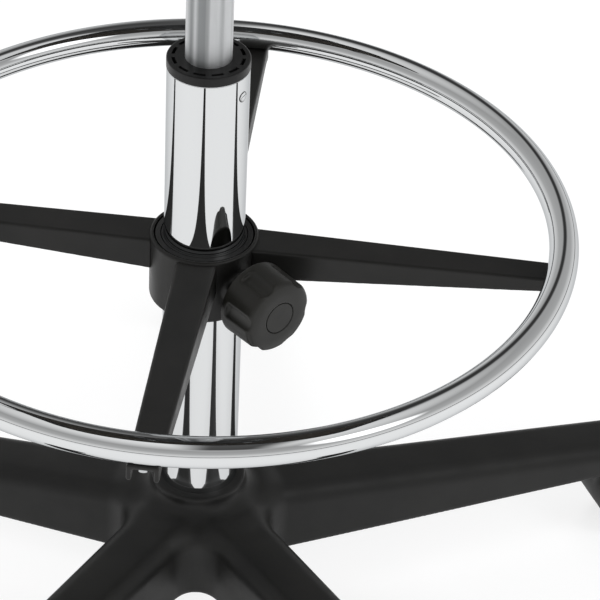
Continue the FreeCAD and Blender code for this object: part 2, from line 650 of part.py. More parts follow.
def caster_axle():
    half = CASTER_PLATE_T / 2 + WHEEL_GAP + WHEEL_W - AXLE_SKIN
    return across(cylinder(CASTER_AXLE_D / 2, 2 * half, -half))


def caster_wheel(side):
    """One wheel; side is +1 or -1 along the axle."""
    r, w = WHEEL_D / 2, WHEEL_W
    hub_r = CASTER_AXLE_D / 2 + 3.0
    web = w - 5.0
    wire = Part.Wire([
        line(V(0, 0, 0), V(hub_r, 0, 0)),
        line(V(hub_r, 0, 0), V(hub_r, 0, web)),
        line(V(hub_r, 0, web), V(r - 4, 0, web)),
        line(V(r - 4, 0, web), V(r - 4, 0, 0)),
        line(V(r - 4, 0, 0), V(r - 0.8, 0, 0)),
        line(V(r - 0.8, 0, 0), V(r, 0, 0.8)),
        line(V(r, 0, 0.8), V(r, 0, web)),
        arc(V(r, 0, web), V(r - 1.4, 0, w - 1.6), V(r - 5, 0, w - 0.6)),
        line(V(r - 5, 0, w - 0.6), V(0, 0, w)),
        line(V(0, 0, w), V(0, 0, 0))])
    wheel = revolved(wire)
    wheel = wheel.cut(cylinder(CASTER_AXLE_D / 2 + RUN_FIT, w - AXLE_SKIN + PLAY + 1.0, -1.0))
    wheel = moved(wheel, 0, 0, CASTER_PLATE_T / 2 + WHEEL_GAP)
    if side < 0:
        wheel = turned(wheel, 180, ORIGIN, V(1, 0, 0))
    return across(wheel)


# ---- seat mechanism ----------------------------------------------------------------------
def seat_plate():
    """Welded housing: bolted top plate, box, cone socket, lever ears and the back bar's sleeve."""
    under_plate = MECH_TOP_Z - MECH_PLATE_T
    socket_foot = CYL_TOP_Z - CONE_L
    top = block(MECH_W, MECH_L, MECH_PLATE_T, 0, 0, under_plate)
    box = block(MECH_BOX_W, MECH_L, MECH_DEPTH, 0, 0, MECH_FOOT_Z)
    hollow_w, hollow_h = MECH_BOX_W - 2 * MECH_PLATE_T, MECH_DEPTH - 2 * MECH_PLATE_T
    hollow = block(hollow_w, MECH_L + 2, hollow_h, 0, 0, MECH_FOOT_Z + MECH_PLATE_T)
    slot_w, slot_h = BAR_W + 2 * RUN_FIT, BAR_T + 2 * RUN_FIT
    sleeve_y = SLEEVE_START + SLEEVE_L / 2
    sleeve = block(slot_w + 2 * SLEEVE_WALL, SLEEVE_L, slot_h + 2 * SLEEVE_WALL, 0, sleeve_y,
                   BAR_MID_Z - slot_h / 2 - SLEEVE_WALL)
    socket = cylinder(SOCKET_D / 2, under_plate - socket_foot, socket_foot)
    ear_y = LEVER_D / 2 + 2.0 + PIVOT_EAR_T / 2
    ear_foot = LEVER_Z - LEVER_D
    ears = [block(20.0, PIVOT_EAR_T, under_plate - ear_foot, LEVER_PIVOT_X, side * ear_y, ear_foot)
            for side in (-1, 1)]
    body = fused(top, box.cut(hollow), sleeve, socket, *ears)
    bar_slot = block(slot_w, SLEEVE_L + 2, slot_h, 0, sleeve_y, BAR_MID_Z - slot_h / 2)
    head_room = cylinder(SOCKET_D / 2 - 6.0, under_plate - CYL_TOP_Z, CYL_TOP_Z)
    lever_slot = block(MECH_W, LEVER_D + 4.0, 22.0, -MECH_W / 2, 0, LEVER_Z - 8.0)
    body = body.cut([bar_slot, cylinder_outer(0.0), head_room, lever_slot])
    body = body.cut([pivot_pin(LEVER_PIVOT_D / 2 + RUN_FIT), knob_stud_hole()])
    bolts = [cylinder(BOLT_D / 2 + 0.25, 20.0, MECH_TOP_Z - 10, x, y) for x, y in bolt_places()]
    return body.cut(bolts)


def bolt_places():
    x, y = MECH_W / 2 - 14.0, MECH_L / 2 - 18.0
    return [(sx * x, sy * y) for sx in (-1, 1) for sy in (-1, 1)]


def knob_stud_hole():
    middle_y = SLEEVE_START + SLEEVE_L / 2
    return cylinder(SMALL_STUD_D / 2 + RUN_FIT, 40.0, BAR_MID_Z - 40.0, 0, middle_y)


def along_x(radius, length, x):
    """Cylinder along +X from x, at the lever's height."""
    return Part.makeCylinder(radius, length, V(x, 0, LEVER_Z), V(1, 0, 0))


def pivot_pin(radius):
    return Part.makeCylinder(radius, 30.0, V(LEVER_PIVOT_X, -15.0, LEVER_Z), V(0, 1, 0))


def height_lever():
    """Round bar: toe over the release pin, eye on the pivot, long arm out to the sitter's right."""
    toe_end = PIN_D / 2
    arm_end = LEVER_PIVOT_X - LEVER_LEN + 20.0
    bar = along_x(LEVER_D / 2, toe_end - arm_end, arm_end)
    eye = Part.makeCylinder(LEVER_D / 2 + 1.0, LEVER_D, V(LEVER_PIVOT_X, -LEVER_D / 2, LEVER_Z), V(0, 1, 0))
    return fused(bar, eye).cut(pivot_pin(LEVER_PIVOT_D / 2 + RUN_FIT))


def lever_pivot():
    return pivot_pin(LEVER_PIVOT_D / 2)


def lever_grip():
    outer_end = LEVER_PIVOT_X - LEVER_LEN
    grip = block(GRIP_L, GRIP_W, GRIP_T, outer_end + GRIP_L / 2, 0, LEVER_Z - GRIP_T / 2)
    grip = grip.makeFillet(GRIP_T / 2 - 1.0, grip.Edges)
    return grip.cut(along_x(LEVER_D / 2, GRIP_L, outer_end + 20.0))


# ---- seat --------------------------------------------------------------------------------
def arm_holes():
    return [(sx * ARM_OFFSET_X, sy * ARM_SPACING / 2) for sx in (-1, 1) for sy in (-1, 1)]


def seat_board():
    """Plywood board with blind holes below for the bolts and for two armrests."""
    outline = rounded_plan(SEAT_W - 2 * BOARD_INSET, SEAT_L - 2 * BOARD_INSET, CUSHION_R - BOARD_INSET,
                           BOARD_FOOT_Z, SEAT_FRONT_Y + BOARD_INSET)
    board = Part.Face(outline).extrude(V(0, 0, BOARD_T))
    start = BOARD_FOOT_Z - 1.0
    holes = [cylinder(BOLT_D / 2, BOARD_T - 1.0, start, x, y) for x, y in bolt_places()]
    holes += [cylinder(ARM_HOLE_D / 2, BOARD_T - 1.0, start, x, y) for x, y in arm_holes()]
    return board.cut(holes)


def seat_cushion():
    low = SEAT_FOOT_Z + PLAY
    outline = rounded_plan(SEAT_W, SEAT_L, CUSHION_R, low, SEAT_FRONT_Y)
    slab = Part.Face(outline).extrude(V(0, 0, CUSHION_T))
    top_edges = [e for e in slab.Edges if e.BoundBox.ZMin > low + CUSHION_T - 0.1]
    return slab.makeFillet(CUSHION_EDGE_R, top_edges)


def seat_bolts():
    def bolt(x, y):
        shank = cylinder(BOLT_D / 2, MECH_PLATE_T + BOARD_T - 3.0, MECH_TOP_Z - MECH_PLATE_T, x, y)
        head = cylinder(BOLT_D, 4.0, MECH_TOP_Z - MECH_PLATE_T - 4.0, x, y)
        return fused(shank, head)
    return Part.makeCompound([bolt(x, y) for x, y in bolt_places()])


# ---- back --------------------------------------------------------------------------------
def bar_path(offset):
    """Corners of the bent bar's line, offset outward: flat run, bend, upright."""
    centre_y, centre_z = BAR_REAR_Y - BAR_BEND_R, BAR_MID_Z + BAR_BEND_R
    reach = (BAR_BEND_R + offset) * math.sqrt(0.5)
    low, rear = BAR_MID_Z - offset, BAR_REAR_Y + offset
    return (V(0, BAR_START, low), V(0, centre_y, low), V(0, centre_y + reach, centre_z - reach),
            V(0, rear, centre_z), V(0, rear, BAR_TOP_Z))


def back_bar():
    a, b = bar_path(BAR_T / 2), bar_path(-BAR_T / 2)
    wire = Part.Wire([
        line(a[0], a[1]), arc(a[1], a[2], a[3]), line(a[3], a[4]), line(a[4], b[4]),
        line(b[4], b[3]), arc(b[3], b[2], b[1]), line(b[1], b[0]), line(b[0], a[0])])
    bar = Part.Face(wire).extrude(V(BAR_W, 0, 0))
    return moved(bar, -BAR_W / 2, 0, 0)


def small_knob():
    return fluted_knob(SMALL_KNOB_D, SMALL_KNOB_D - 5.0, SMALL_KNOB_L, 6, 9.0, 2.0, 3.0)


def bar_knob():
    """Knob under the bar's sleeve; its stud presses on the bar."""
    sleeve_foot = BAR_MID_Z - BAR_T / 2 - RUN_FIT - SLEEVE_WALL
    stud_top = BAR_MID_Z - BAR_T / 2 - PLAY
    stud = cylinder(SMALL_STUD_D / 2, stud_top - sleeve_foot + 8.0, sleeve_foot - 8.0)
    knob = moved(turned(small_knob(), 180, ORIGIN, V(1, 0, 0)), 0, 0, sleeve_foot - 6.0)
    return moved(fused(knob, stud), 0, SLEEVE_START + SLEEVE_L / 2, 0)


def back_carrier():
    """Moulded bracket that slides on the upright and holds the back shell."""
    slot_w, slot_t = BAR_W + 2 * RUN_FIT, BAR_T + 2 * RUN_FIT
    foot = CARRIER_MID_Z - CARRIER_H / 2
    body = block(CARRIER_W, slot_t + 2 * CARRIER_WALL, CARRIER_H, 0, BAR_REAR_Y, foot)
    body = body.makeFillet(4.0, [e for e in body.Edges if abs(e.BoundBox.ZLength - CARRIER_H) < 0.1])
    slot = block(slot_w, slot_t, CARRIER_H + 2, 0, BAR_REAR_Y, foot - 1)
    hole_r = SMALL_STUD_D / 2 + RUN_FIT
    hole = Part.makeCylinder(hole_r, 30.0, V(0, BAR_REAR_Y, CARRIER_MID_Z), V(0, 1, 0))
    return body.cut([slot, hole])


def carrier_knob():
    """Knob behind the carrier; its stud presses on the upright."""
    carrier_rear = BAR_REAR_Y + BAR_T / 2 + RUN_FIT + CARRIER_WALL
    start = BAR_REAR_Y + BAR_T / 2 + PLAY
    foot = V(0, start, CARRIER_MID_Z)
    stud = Part.makeCylinder(SMALL_STUD_D / 2, carrier_rear + 3.0 - start, foot, V(0, 1, 0))
    knob = turned(small_knob(), -90, ORIGIN, V(1, 0, 0))
    return fused(moved(knob, 0, carrier_rear + 1.5, CARRIER_MID_Z), stud)


def back_front_y():
    return BAR_REAR_Y - BAR_T / 2 - RUN_FIT - CARRIER_WALL - BACK_SHELL_T


def back_plan(width, height, radius):
    return rounded_plan(width, height, radius, 0.0, -height / 2)


def stood_up(shape, y):
    """Stand a slab built on the XY plane upright, facing -Y, with its back face at y."""
    return moved(turned(shape, 90, ORIGIN, V(1, 0, 0)), 0, y, BACK_MID_Z)


def back_shell():
    slab = Part.Face(back_plan(BACK_W - 10, BACK_H - 10, BACK_CORNER_R - 5)).extrude(V(0, 0, BACK_SHELL_T))
    slab = slab.makeFillet(4.0, [e for e in slab.Edges if e.BoundBox.ZMax < 0.1])
    return stood_up(slab, back_front_y() + BACK_SHELL_T)


def back_cushion():
    slab = Part.Face(back_plan(BACK_W, BACK_H, BACK_CORNER_R)).extrude(V(0, 0, BACK_T))
    slab = slab.makeFillet(18.0, [e for e in slab.Edges if e.BoundBox.ZMin > BACK_T - 0.1])
    return stood_up(slab, back_front_y() - PLAY)


def build():
    parts = {
        "base_star": base_star(), "column_tube": column_tube(), "column_bush": column_bush(),
        "bush_rivet": bush_rivet(), "bearing_lower_race": bearing_lower_race(),
        "bearing_cage": bearing_cage(), "bearing_upper_race": bearing_upper_race(),
        "piston_rod": piston_rod(), "retaining_clip": retaining_clip(), "rebound_buffer": rebound_buffer(),
        "gas_cylinder": gas_cylinder(), "release_pin": release_pin(),
        "foot_ring": foot_ring(), "ring_spider": ring_spider(), "ring_collar": ring_collar(),
        "ring_liner": ring_liner(), "ring_screws": ring_screws(), "clamp_knob": clamp_knob(),
        "knob_cap": knob_cap(), "clamp_stud": clamp_stud(), "clamp_shoe": clamp_shoe(),
        "seat_plate": seat_plate(), "height_lever": height_lever(), "lever_pivot": lever_pivot(),
        "lever_grip": lever_grip(), "seat_board": seat_board(), "seat_cushion": seat_cushion(),
        "seat_bolts": seat_bolts(), "back_bar": back_bar(), "bar_knob": bar_knob(),
        "back_carrier": back_carrier(), "carrier_knob": carrier_knob(),
        "back_shell": back_shell(), "back_cushion": back_cushion(),
    }
    for k in range(LEG_COUNT):
        parts[f"caster_stem_{k + 1}"] = caster_place(caster_stem(), k)
        parts[f"caster_hood_{k + 1}"] = caster_place(caster_hood(), k)
        parts[f"caster_axle_{k + 1}"] = caster_place(caster_axle(), k)
        parts[f"caster_wheel_left_{k + 1}"] = caster_place(caster_wheel(1), k)
        parts[f"caster_wheel_right_{k + 1}"] = caster_place(caster_wheel(-1), k)
    return parts


os.makedirs("parts", exist_ok=True)
for name, shape in build().items():
    shape.exportStep(f"parts/{name}.step")
    solids = len(shape.Solids)
    print(f"{name}: {solids} solid(s), volume {shape.Volume / 1000:.1f} cm3, valid {shape.isValid()}")
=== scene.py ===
import json
import math

import bmesh
import bpy
import numpy as np
from mathutils import Matrix, Vector
from mathutils.bvhtree import BVHTree
from mathutils.kdtree import KDTree


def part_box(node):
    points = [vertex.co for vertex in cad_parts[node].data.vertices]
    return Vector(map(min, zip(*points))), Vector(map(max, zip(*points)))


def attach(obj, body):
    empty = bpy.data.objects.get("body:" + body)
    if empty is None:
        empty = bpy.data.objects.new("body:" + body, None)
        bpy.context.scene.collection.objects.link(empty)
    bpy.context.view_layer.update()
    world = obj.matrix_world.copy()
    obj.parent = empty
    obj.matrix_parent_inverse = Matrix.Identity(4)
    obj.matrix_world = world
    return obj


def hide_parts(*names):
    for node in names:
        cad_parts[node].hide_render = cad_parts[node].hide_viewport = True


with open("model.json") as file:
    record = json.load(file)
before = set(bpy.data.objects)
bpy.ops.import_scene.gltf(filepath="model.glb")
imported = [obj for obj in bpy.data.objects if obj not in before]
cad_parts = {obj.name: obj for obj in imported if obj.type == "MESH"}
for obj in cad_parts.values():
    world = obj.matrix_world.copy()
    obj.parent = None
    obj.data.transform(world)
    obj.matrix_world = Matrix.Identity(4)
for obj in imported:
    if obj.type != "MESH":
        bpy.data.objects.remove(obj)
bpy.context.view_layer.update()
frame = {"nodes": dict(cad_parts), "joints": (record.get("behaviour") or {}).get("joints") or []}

# ---- studio ------------------------------------------------------------------------------
# The chair stands on a pale seamless floor, evenly lit, against plain white. Metal sees a guessed
# room there instead. The eye is at standing height, on the foot ring and hub, through a long lens.
EYE = Vector((-0.0109, -1.4899, 1.3710))
LOOKS_AT = Vector((0.0610, 0.0, 0.2556))
EYE_ROLL = math.radians(2.85)
LENS = 178.25

eye = bpy.data.cameras.new("eye")
eye.lens = LENS
eye.sensor_width = 36.0
eye.clip_start = 0.05
eye.clip_end = 100.0
camera = bpy.data.objects.new("eye", eye)
aim = (LOOKS_AT - EYE).to_track_quat("-Z", "Y").to_matrix().to_4x4()
camera.matrix_world = Matrix.Translation(EYE) @ aim @ Matrix.Rotation(EYE_ROLL, 4, "Z")
bpy.context.scene.collection.objects.link(camera)
bpy.context.scene.camera = camera
bpy.context.scene.view_settings.view_transform = "Standard"

ROOM_GREY = (0.86, 0.87, 0.88, 1.0)
ROOM_STRENGTH = 0.62
# what polished metal sees, all guessed, from straight down to straight up: floor, skirting, walls, ceiling
ROOM_BANDS = ((0.0, 1.0), (0.497, 0.95), (0.507, 0.05), (0.521, 0.05), (0.534, 0.90), (0.620, 0.75),
              (0.700, 0.52), (0.850, 0.42), (1.0, 0.40))
# and a dark hanging behind the chair that reaches overhead: where it is, how wide, how soft
CURTAIN_X = 0.10
CURTAIN_HALF = 0.20
CURTAIN_EDGE = 0.14
CURTAIN_FRONT = -0.52
CURTAIN_FOOT = 0.09
CURTAIN_FOOT_EDGE = 0.02
CURTAIN_DEPTH = 0.90
# and a lit panel high on the right
PANEL_TOWARDS = (0.612, -0.472, 0.634)
PANEL_GAIN = 3.0
PANEL_EDGE = (0.955, 0.985)


def node(tree, kind, sockets=None, **settings):
    """A shader node. Each socket is given a value, or another node's output to link to."""
    made = tree.nodes.new("ShaderNode" + kind)
    for setting, value in settings.items():
        setattr(made, setting, value)
    for socket, value in (sockets or {}).items():
        if isinstance(value, bpy.types.NodeSocket):
            tree.links.new(value, made.inputs[socket])
        else:
            made.inputs[socket].default_value = value
    return made


def worked(tree, operation, first, second=0.0):
    """One sum of two values, each a socket or a number."""
    return node(tree, "Math", {0: first, 1: second}, operation=operation).outputs[0]


def ramped(tree, value, start, end):
    """0 below start, 1 above end, smooth between."""
    sockets = {"From Min": start, "From Max": end, "Value": value}
    return node(tree, "MapRange", sockets, interpolation_type="SMOOTHSTEP").outputs["Result"]


def seen_directly(tree):
    """1 for rays from the eye, or off and through a glossy surface; 0 for light bouncing about."""
    path = node(tree, "LightPath")
    both = worked(tree, "MAXIMUM", path.outputs["Is Camera Ray"], path.outputs["Is Glossy Ray"])
    return worked(tree, "MAXIMUM", both, path.outputs["Is Transmission Ray"])


room = bpy.data.worlds.new("white_room")
room.use_nodes = True
bpy.context.scene.world = room
tree = room.node_tree
plain = tree.nodes["Background"]
plain.inputs["Color"].default_value = ROOM_GREY
plain.inputs["Strength"].default_value = ROOM_STRENGTH
white = node(tree, "Background", {"Color": (1.0, 1.0, 1.0, 1.0), "Strength": 1.0})
direction = node(tree, "TexCoord").outputs["Generated"]
parts = node(tree, "SeparateXYZ", {"Vector": direction})
height = node(tree, "MapRange", {"From Min": -1.0, "Value": parts.outputs["Z"]})
bands = node(tree, "ValToRGB", {"Fac": height.outputs["Result"]})
for i, (place, level) in enumerate(ROOM_BANDS):
    stop = bands.color_ramp.elements[0] if i == 0 else bands.color_ramp.elements.new(place)
    stop.position = place
    stop.color = (level, level, level, 1.0)
bands.color_ramp.elements.remove(bands.color_ramp.elements[-1])
aside = worked(tree, "ABSOLUTE", worked(tree, "SUBTRACT", parts.outputs["X"], CURTAIN_X))
within = worked(tree, "SUBTRACT", 1.0, ramped(tree, aside, CURTAIN_HALF - CURTAIN_EDGE, CURTAIN_HALF))
behind = ramped(tree, parts.outputs["Y"], CURTAIN_FRONT - CURTAIN_EDGE, CURTAIN_FRONT)
raised = ramped(tree, parts.outputs["Z"], CURTAIN_FOOT - CURTAIN_FOOT_EDGE, CURTAIN_FOOT)
covered = worked(tree, "MULTIPLY", worked(tree, "MULTIPLY", within, behind), raised)
kept_light = worked(tree, "SUBTRACT", 1.0, worked(tree, "MULTIPLY", covered, CURTAIN_DEPTH))
nearness = node(tree, "VectorMath", {0: direction, 1: PANEL_TOWARDS}, operation="DOT_PRODUCT")
panel = worked(tree, "MULTIPLY", ramped(tree, nearness.outputs["Value"], *PANEL_EDGE), PANEL_GAIN)
dim = node(tree, "Background", {"Color": bands.outputs["Color"],
                                "Strength": worked(tree, "ADD", kept_light, panel)})
glossy = node(tree, "LightPath").outputs["Is Glossy Ray"]
walls = node(tree, "MixShader", {0: glossy, 1: white.outputs[0], 2: dim.outputs[0]})
mix = node(tree, "MixShader", {0: seen_directly(tree), 1: plain.outputs[0], 2: walls.outputs[0]})
tree.links.new(mix.outputs[0], tree.nodes["World Output"].inputs["Surface"])


def soft_lamp(name, place, target, size, power):
    lamp = bpy.data.lights.new(name, "AREA")
    lamp.shape = "SQUARE"
    lamp.size = size
    lamp.energy = power
    holder = bpy.data.objects.new(name, lamp)
    holder.location = place
    holder.rotation_euler = (Vector(target) - Vector(place)).to_track_quat("-Z", "Y").to_euler()
    holder.visible_camera = False
    holder.visible_glossy = False
    bpy.context.scene.collection.objects.link(holder)


soft_lamp("key_lamp", (-1.9, -1.6, 2.6), (0.0, 0.0, 0.4), 1.2, 42.0)
soft_lamp("side_lamp", (2.4, -0.9, 1.7), (0.0, 0.0, 0.4), 1.2, 22.0)
soft_lamp("back_lamp", (0.5, 2.6, 2.2), (0.0, 0.0, 0.5), 1.4, 24.0)

FLOOR_HALF = 9.0
FLOOR_Z = -0.0004
FLOOR_GLOW = 0.77
floor_mesh = bpy.data.meshes.new("floor")
corners = [(x * FLOOR_HALF, y * FLOOR_HALF, FLOOR_Z) for x, y in ((-1, -1), (1, -1), (1, 1), (-1, 1))]
floor_mesh.from_pydata(corners, [], [(0, 1, 2, 3)])
floor = bpy.data.objects.new("floor", floor_mesh)
bpy.context.scene.collection.objects.link(floor)
sweep = bpy.data.materials.new("pale_sweep")
sweep.use_nodes = True
tree = sweep.node_tree
tree.nodes.remove(tree.nodes["Principled BSDF"])
bounce = node(tree, "BsdfDiffuse", {"Color": (0.8, 0.8, 0.8, 1.0)})
shade = node(tree, "BsdfDiffuse", {"Color": (0.3, 0.3, 0.3, 1.0)})
glow = node(tree, "Emission", {"Color": (1.0, 1.0, 1.0, 1.0), "Strength": FLOOR_GLOW})
shown = node(tree, "AddShader", {0: shade.outputs[0], 1: glow.outputs[0]})
mix = node(tree, "MixShader", {0: seen_directly(tree), 1: bounce.outputs[0], 2: shown.outputs[0]})
tree.links.new(mix.outputs[0], tree.nodes["Material Output"].inputs["Surface"])
floor_mesh.materials.append(sweep)

# ---- base star ---------------------------------------------------------------------------
# One piece of black glass-filled nylon, injection moulded: five legs flow into a hub round the
# column, hollow below with ribs. Fine spark grain.
LEGS = 5
LEG_FIRST = math.radians(18.0)
REACH = 0.300
SHOULDER = 0.0105
CROTCH = 0.012
HUB_R = 0.0505
HUB_TOP = 0.0995
NECK_R = 0.0310
NECK_TOP = 0.1160
STAR_WALL = 0.0040
RIB = 0.0013
STAR_STEP = 0.0014
LEG_ROOT = 0.060
LEG_FOOT, LEG_FOOT_RISE = 0.0541, 0.0092
BORE_R, BORE_TAPER, BORE_TAPER_TOP = 0.0250, 0.023, 0.124
STEM_HOLE_R, STEM_HOLE_TOP = 0.0056, 0.0745


def round_meet(a, b, r):
    """Where two shapes overlap, with the outer corner rounded to r."""
    over = np.hypot(np.maximum(a + r, 0.0), np.maximum(b + r, 0.0))
    return np.minimum(np.maximum(a, b), -r) + over


def round_join(a, b, r):
    """Two shapes joined, with the inner corner filled to r."""
    under = np.hypot(np.maximum(r - a, 0.0), np.maximum(r - b, 0.0))
    return np.maximum(np.minimum(a, b), r) - under


def grid(low, high, step):
    """Sample places in a box, as three arrays, from low to past high."""
    counts = [int(math.ceil((high[d] - low[d]) / step)) + 1 for d in range(3)]
    axes = [(low[d] + step * np.arange(counts[d])).astype(np.float32) for d in range(3)]
    return np.meshgrid(*axes, indexing="ij", sparse=True)


def skin(name, field, low, step):
    """A mesh of a shape's surface, from its sampled distance: a point in each crossed cell."""
    cells = np.array(field.shape) - 1
    strides = np.array([cells[1] * cells[2], cells[2], 1])
    homes, places, quads = [], [], []
    for axis in range(3):
        near = field[tuple(slice(0, -1) if d == axis else slice(None) for d in range(3))]
        far = field[tuple(slice(1, None) if d == axis else slice(None) for d in range(3))]
        at = np.argwhere((near < 0) != (far < 0))
        u, v = [d for d in range(3) if d != axis]
        inner = (at[:, u] > 0) & (at[:, v] > 0)
        inner &= (at[:, u] < cells[u]) & (at[:, v] < cells[v])
        at = at[inner]
        a, b = near[tuple(at.T)], far[tuple(at.T)]
        place = at.astype(float)
        place[:, axis] += a / (a - b)
        corners = []
        for du, dv in ((0, 0), (1, 0), (1, 1), (0, 1)):
            cell = at.copy()
            cell[:, u] -= du
            cell[:, v] -= dv
            corners.append(cell @ strides)
            homes.append(corners[-1])
            places.append(place)
        quad = np.stack(corners, axis=1)
        turn = (a < 0) == (axis == 1)
        quad[turn] = quad[turn][:, ::-1]
        quads.append(quad)
    homes, places = np.concatenate(homes), np.concatenate(places)
    names, index = np.unique(homes, return_inverse=True)
    count = np.bincount(index)
    middle = np.stack([np.bincount(index, places[:, d]) / count for d in range(3)], axis=1)
    faces = np.searchsorted(names, np.concatenate(quads))
    mesh = bpy.data.meshes.new(name)
    mesh.from_pydata((middle * step + np.array(low)).tolist(), [], faces.tolist())
    mesh.validate()
    return mesh


def piece(name, mesh, body, material, replaced=(), sharp=40.0):
    """An object for a mesh, smooth but for sharp corners, that rides on a body."""
    made = bpy.data.objects.new(name, mesh)
    bpy.context.scene.collection.objects.link(made)
    mesh.shade_smooth()
    if sharp is not None:
        mesh.set_sharp_from_angle(angle=math.radians(sharp))
    mesh.materials.clear()
    mesh.materials.append(material)
    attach(made, body)
    if replaced:
        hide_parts(*replaced)
    return made


def surface(name, roughness, metallic=0.0, gloss=0.5):
    """A new material and its shader."""
    material = bpy.data.materials.new(name)
    material.use_nodes = True
    shader = material.node_tree.nodes["Principled BSDF"]
    shader.inputs["Roughness"].default_value = roughness
    shader.inputs["Metallic"].default_value = metallic
    shader.inputs["Specular IOR Level"].default_value = gloss
    return material, shader


def noise(tree, scale, detail=2.0, stretch=(1.0, 1.0, 1.0)):
    """Noise that stays on the piece, in its own metres."""
    place = node(tree, "TexCoord").outputs["Object"]
    spread = node(tree, "Mapping", {"Scale": stretch, "Vector": place}).outputs["Vector"]
    return node(tree, "TexNoise", {"Scale": scale, "Detail": detail, "Vector": spread}).outputs["Fac"]


def between(tree, value, low, high, start=0.3, end=0.7):
    """value from start to end, as low to high."""
    sockets = {"From Min": start, "From Max": end, "To Min": low, "To Max": high, "Value": value}
    return node(tree, "MapRange", sockets).outputs["Result"]


def two_tones(tree, value, first, second, start=0.35, end=0.65):
    """One colour running into another."""
    ramp = node(tree, "ValToRGB", {"Fac": value})
    for stop, place, colour in zip(ramp.color_ramp.elements, (start, end), (first, second)):
        stop.position = place
        stop.color = (*colour, 1.0)
    return ramp.outputs["Color"]


def relief(tree, shader, value, depth, strength=1.0):
    """Fine relief of the surface, depth in metres."""
    bump = node(tree, "Bump", {"Strength": strength, "Distance": depth, "Height": value})
    tree.links.new(bump.outputs["Normal"], shader.inputs["Normal"])


def moulded(name, dark, light, smooth, rough, grain=2600.0, depth=0.00006):
    """Moulded black plastic: fine grain, faint cloudiness, uneven gloss."""
    material, shader = surface(name, rough, gloss=0.32)
    tree = material.node_tree
    cloud = noise(tree, 22.0, 3.0)
    tree.links.new(two_tones(tree, cloud, dark, light), shader.inputs["Base Color"])
    tree.links.new(between(tree, noise(tree, 60.0, 3.0), smooth, rough), shader.inputs["Roughness"])
    relief(tree, shader, noise(tree, grain, 2.0), depth, 0.6)
    return material


def star_field(low, high, step):
    x, y, z = grid(low, high, step)
    rho = np.hypot(x, y)
    sector = 2 * math.pi / LEGS
    turn = np.mod(np.arctan2(y, x) - LEG_FIRST + sector / 2, sector) - sector / 2
    along, aside = rho * np.cos(turn), np.abs(rho * np.sin(turn))

    def leg(along, aside):
        past = np.clip(along, 0.0, REACH) - LEG_ROOT
        top = 0.0985 - 0.0843 * past
        foot_half = 0.0250 - 0.0208 * past
        top_half = 0.0210 - 0.0054 * past
        foot = LEG_FOOT + LEG_FOOT_RISE * past
        up = np.clip((z - foot) / (top - foot), 0.0, 1.0)
        half = foot_half + (top_half - foot_half) * up
        out = np.where(along > REACH, np.hypot(along - REACH, aside), aside)
        crown = 0.0012 * np.clip(1.0 - (out / half) ** 2, 0.0, 1.0)
        return round_meet(out - half, z - top - crown, SHOULDER)

    beside_along = along * math.cos(sector) + aside * math.sin(sector)
    beside_aside = np.abs(along * math.sin(sector) - aside * math.cos(sector))
    legs = round_join(leg(along, aside), leg(beside_along, beside_aside), CROTCH)
    neck = round_meet(rho - NECK_R, z - NECK_TOP, 0.0015)
    drum = round_meet(rho - HUB_R, z - HUB_TOP, 0.009)
    body = round_join(legs, round_join(drum, neck, 0.011), 0.010)
    ribs = np.abs(aside) - RIB
    for k in range(4):
        ribs = np.minimum(ribs, np.abs(along - 0.091 - 0.055 * k) - RIB)
    ribs = np.minimum(ribs, np.hypot(along - REACH, aside) - 0.0095)
    ribs = np.minimum(ribs, rho - 0.0620)
    pocket = np.maximum(body + STAR_WALL, -ribs)
    foot = LEG_FOOT + LEG_FOOT_RISE * (np.clip(rho, LEG_ROOT, REACH) - LEG_ROOT)
    body = round_meet(body, foot - z, 0.0024)
    bore = np.maximum(rho - BORE_R + BORE_TAPER * np.clip(BORE_TAPER_TOP - z, 0.0, 0.074), z - 0.109)
    bore = np.minimum(bore, np.maximum(rho - 0.0238, 0.108 - z))
    stem = np.maximum(np.hypot(along - REACH, aside) - STEM_HOLE_R, z - STEM_HOLE_TOP)
    return np.maximum(np.maximum(body, -pocket), np.maximum(-bore, -stem))


low, high = (-0.326, -0.326, 0.050), (0.326, 0.326, 0.120)
nylon = moulded("spark_grained_nylon", (0.0070, 0.0070, 0.0067), (0.0105, 0.0103, 0.0096), 0.40, 0.50)
star_mesh = skin("base_star_moulding", star_field(low, high, STAR_STEP), low, STAR_STEP)
piece("base_star_moulding", star_mesh, "base", nylon, ["base_star"], 50.0)

# ---- casters -----------------------------------------------------------------------------
# Five twin-wheel casters: a nylon hood with a middle plate carries a steel axle with a hard
# nylon wheel pressed on at each side. Each turns on a steel stem pushed up into its leg.
WHEEL_R = 0.025
WHEEL_IN = 0.0060
TRAIL = 0.018
HOOD_R = 0.0278
HOOD_HALF = 0.0228
HOOD_STEP = 0.0008


def outline(corners, steps=5):
    """(radius, height, rounding) corners as a run of points, with those corners rounded."""
    run = []
    for i, (r, z, bend) in enumerate(corners):
        here = Vector((r, z))
        if bend == 0:
            run.append(here)
            continue
        back = (Vector(corners[i - 1][:2]) - here).normalized()
        onward = (Vector(corners[(i + 1) % len(corners)][:2]) - here).normalized()
        half = back.angle(onward) / 2
        centre = here + (back + onward).normalized() * bend / math.sin(half)
        start = here + back * bend / math.tan(half) - centre
        end = here + onward * bend / math.tan(half) - centre
        for k in range(steps + 1):
            run.append(centre + start.lerp(end, k / steps).normalized() * bend)
    return run


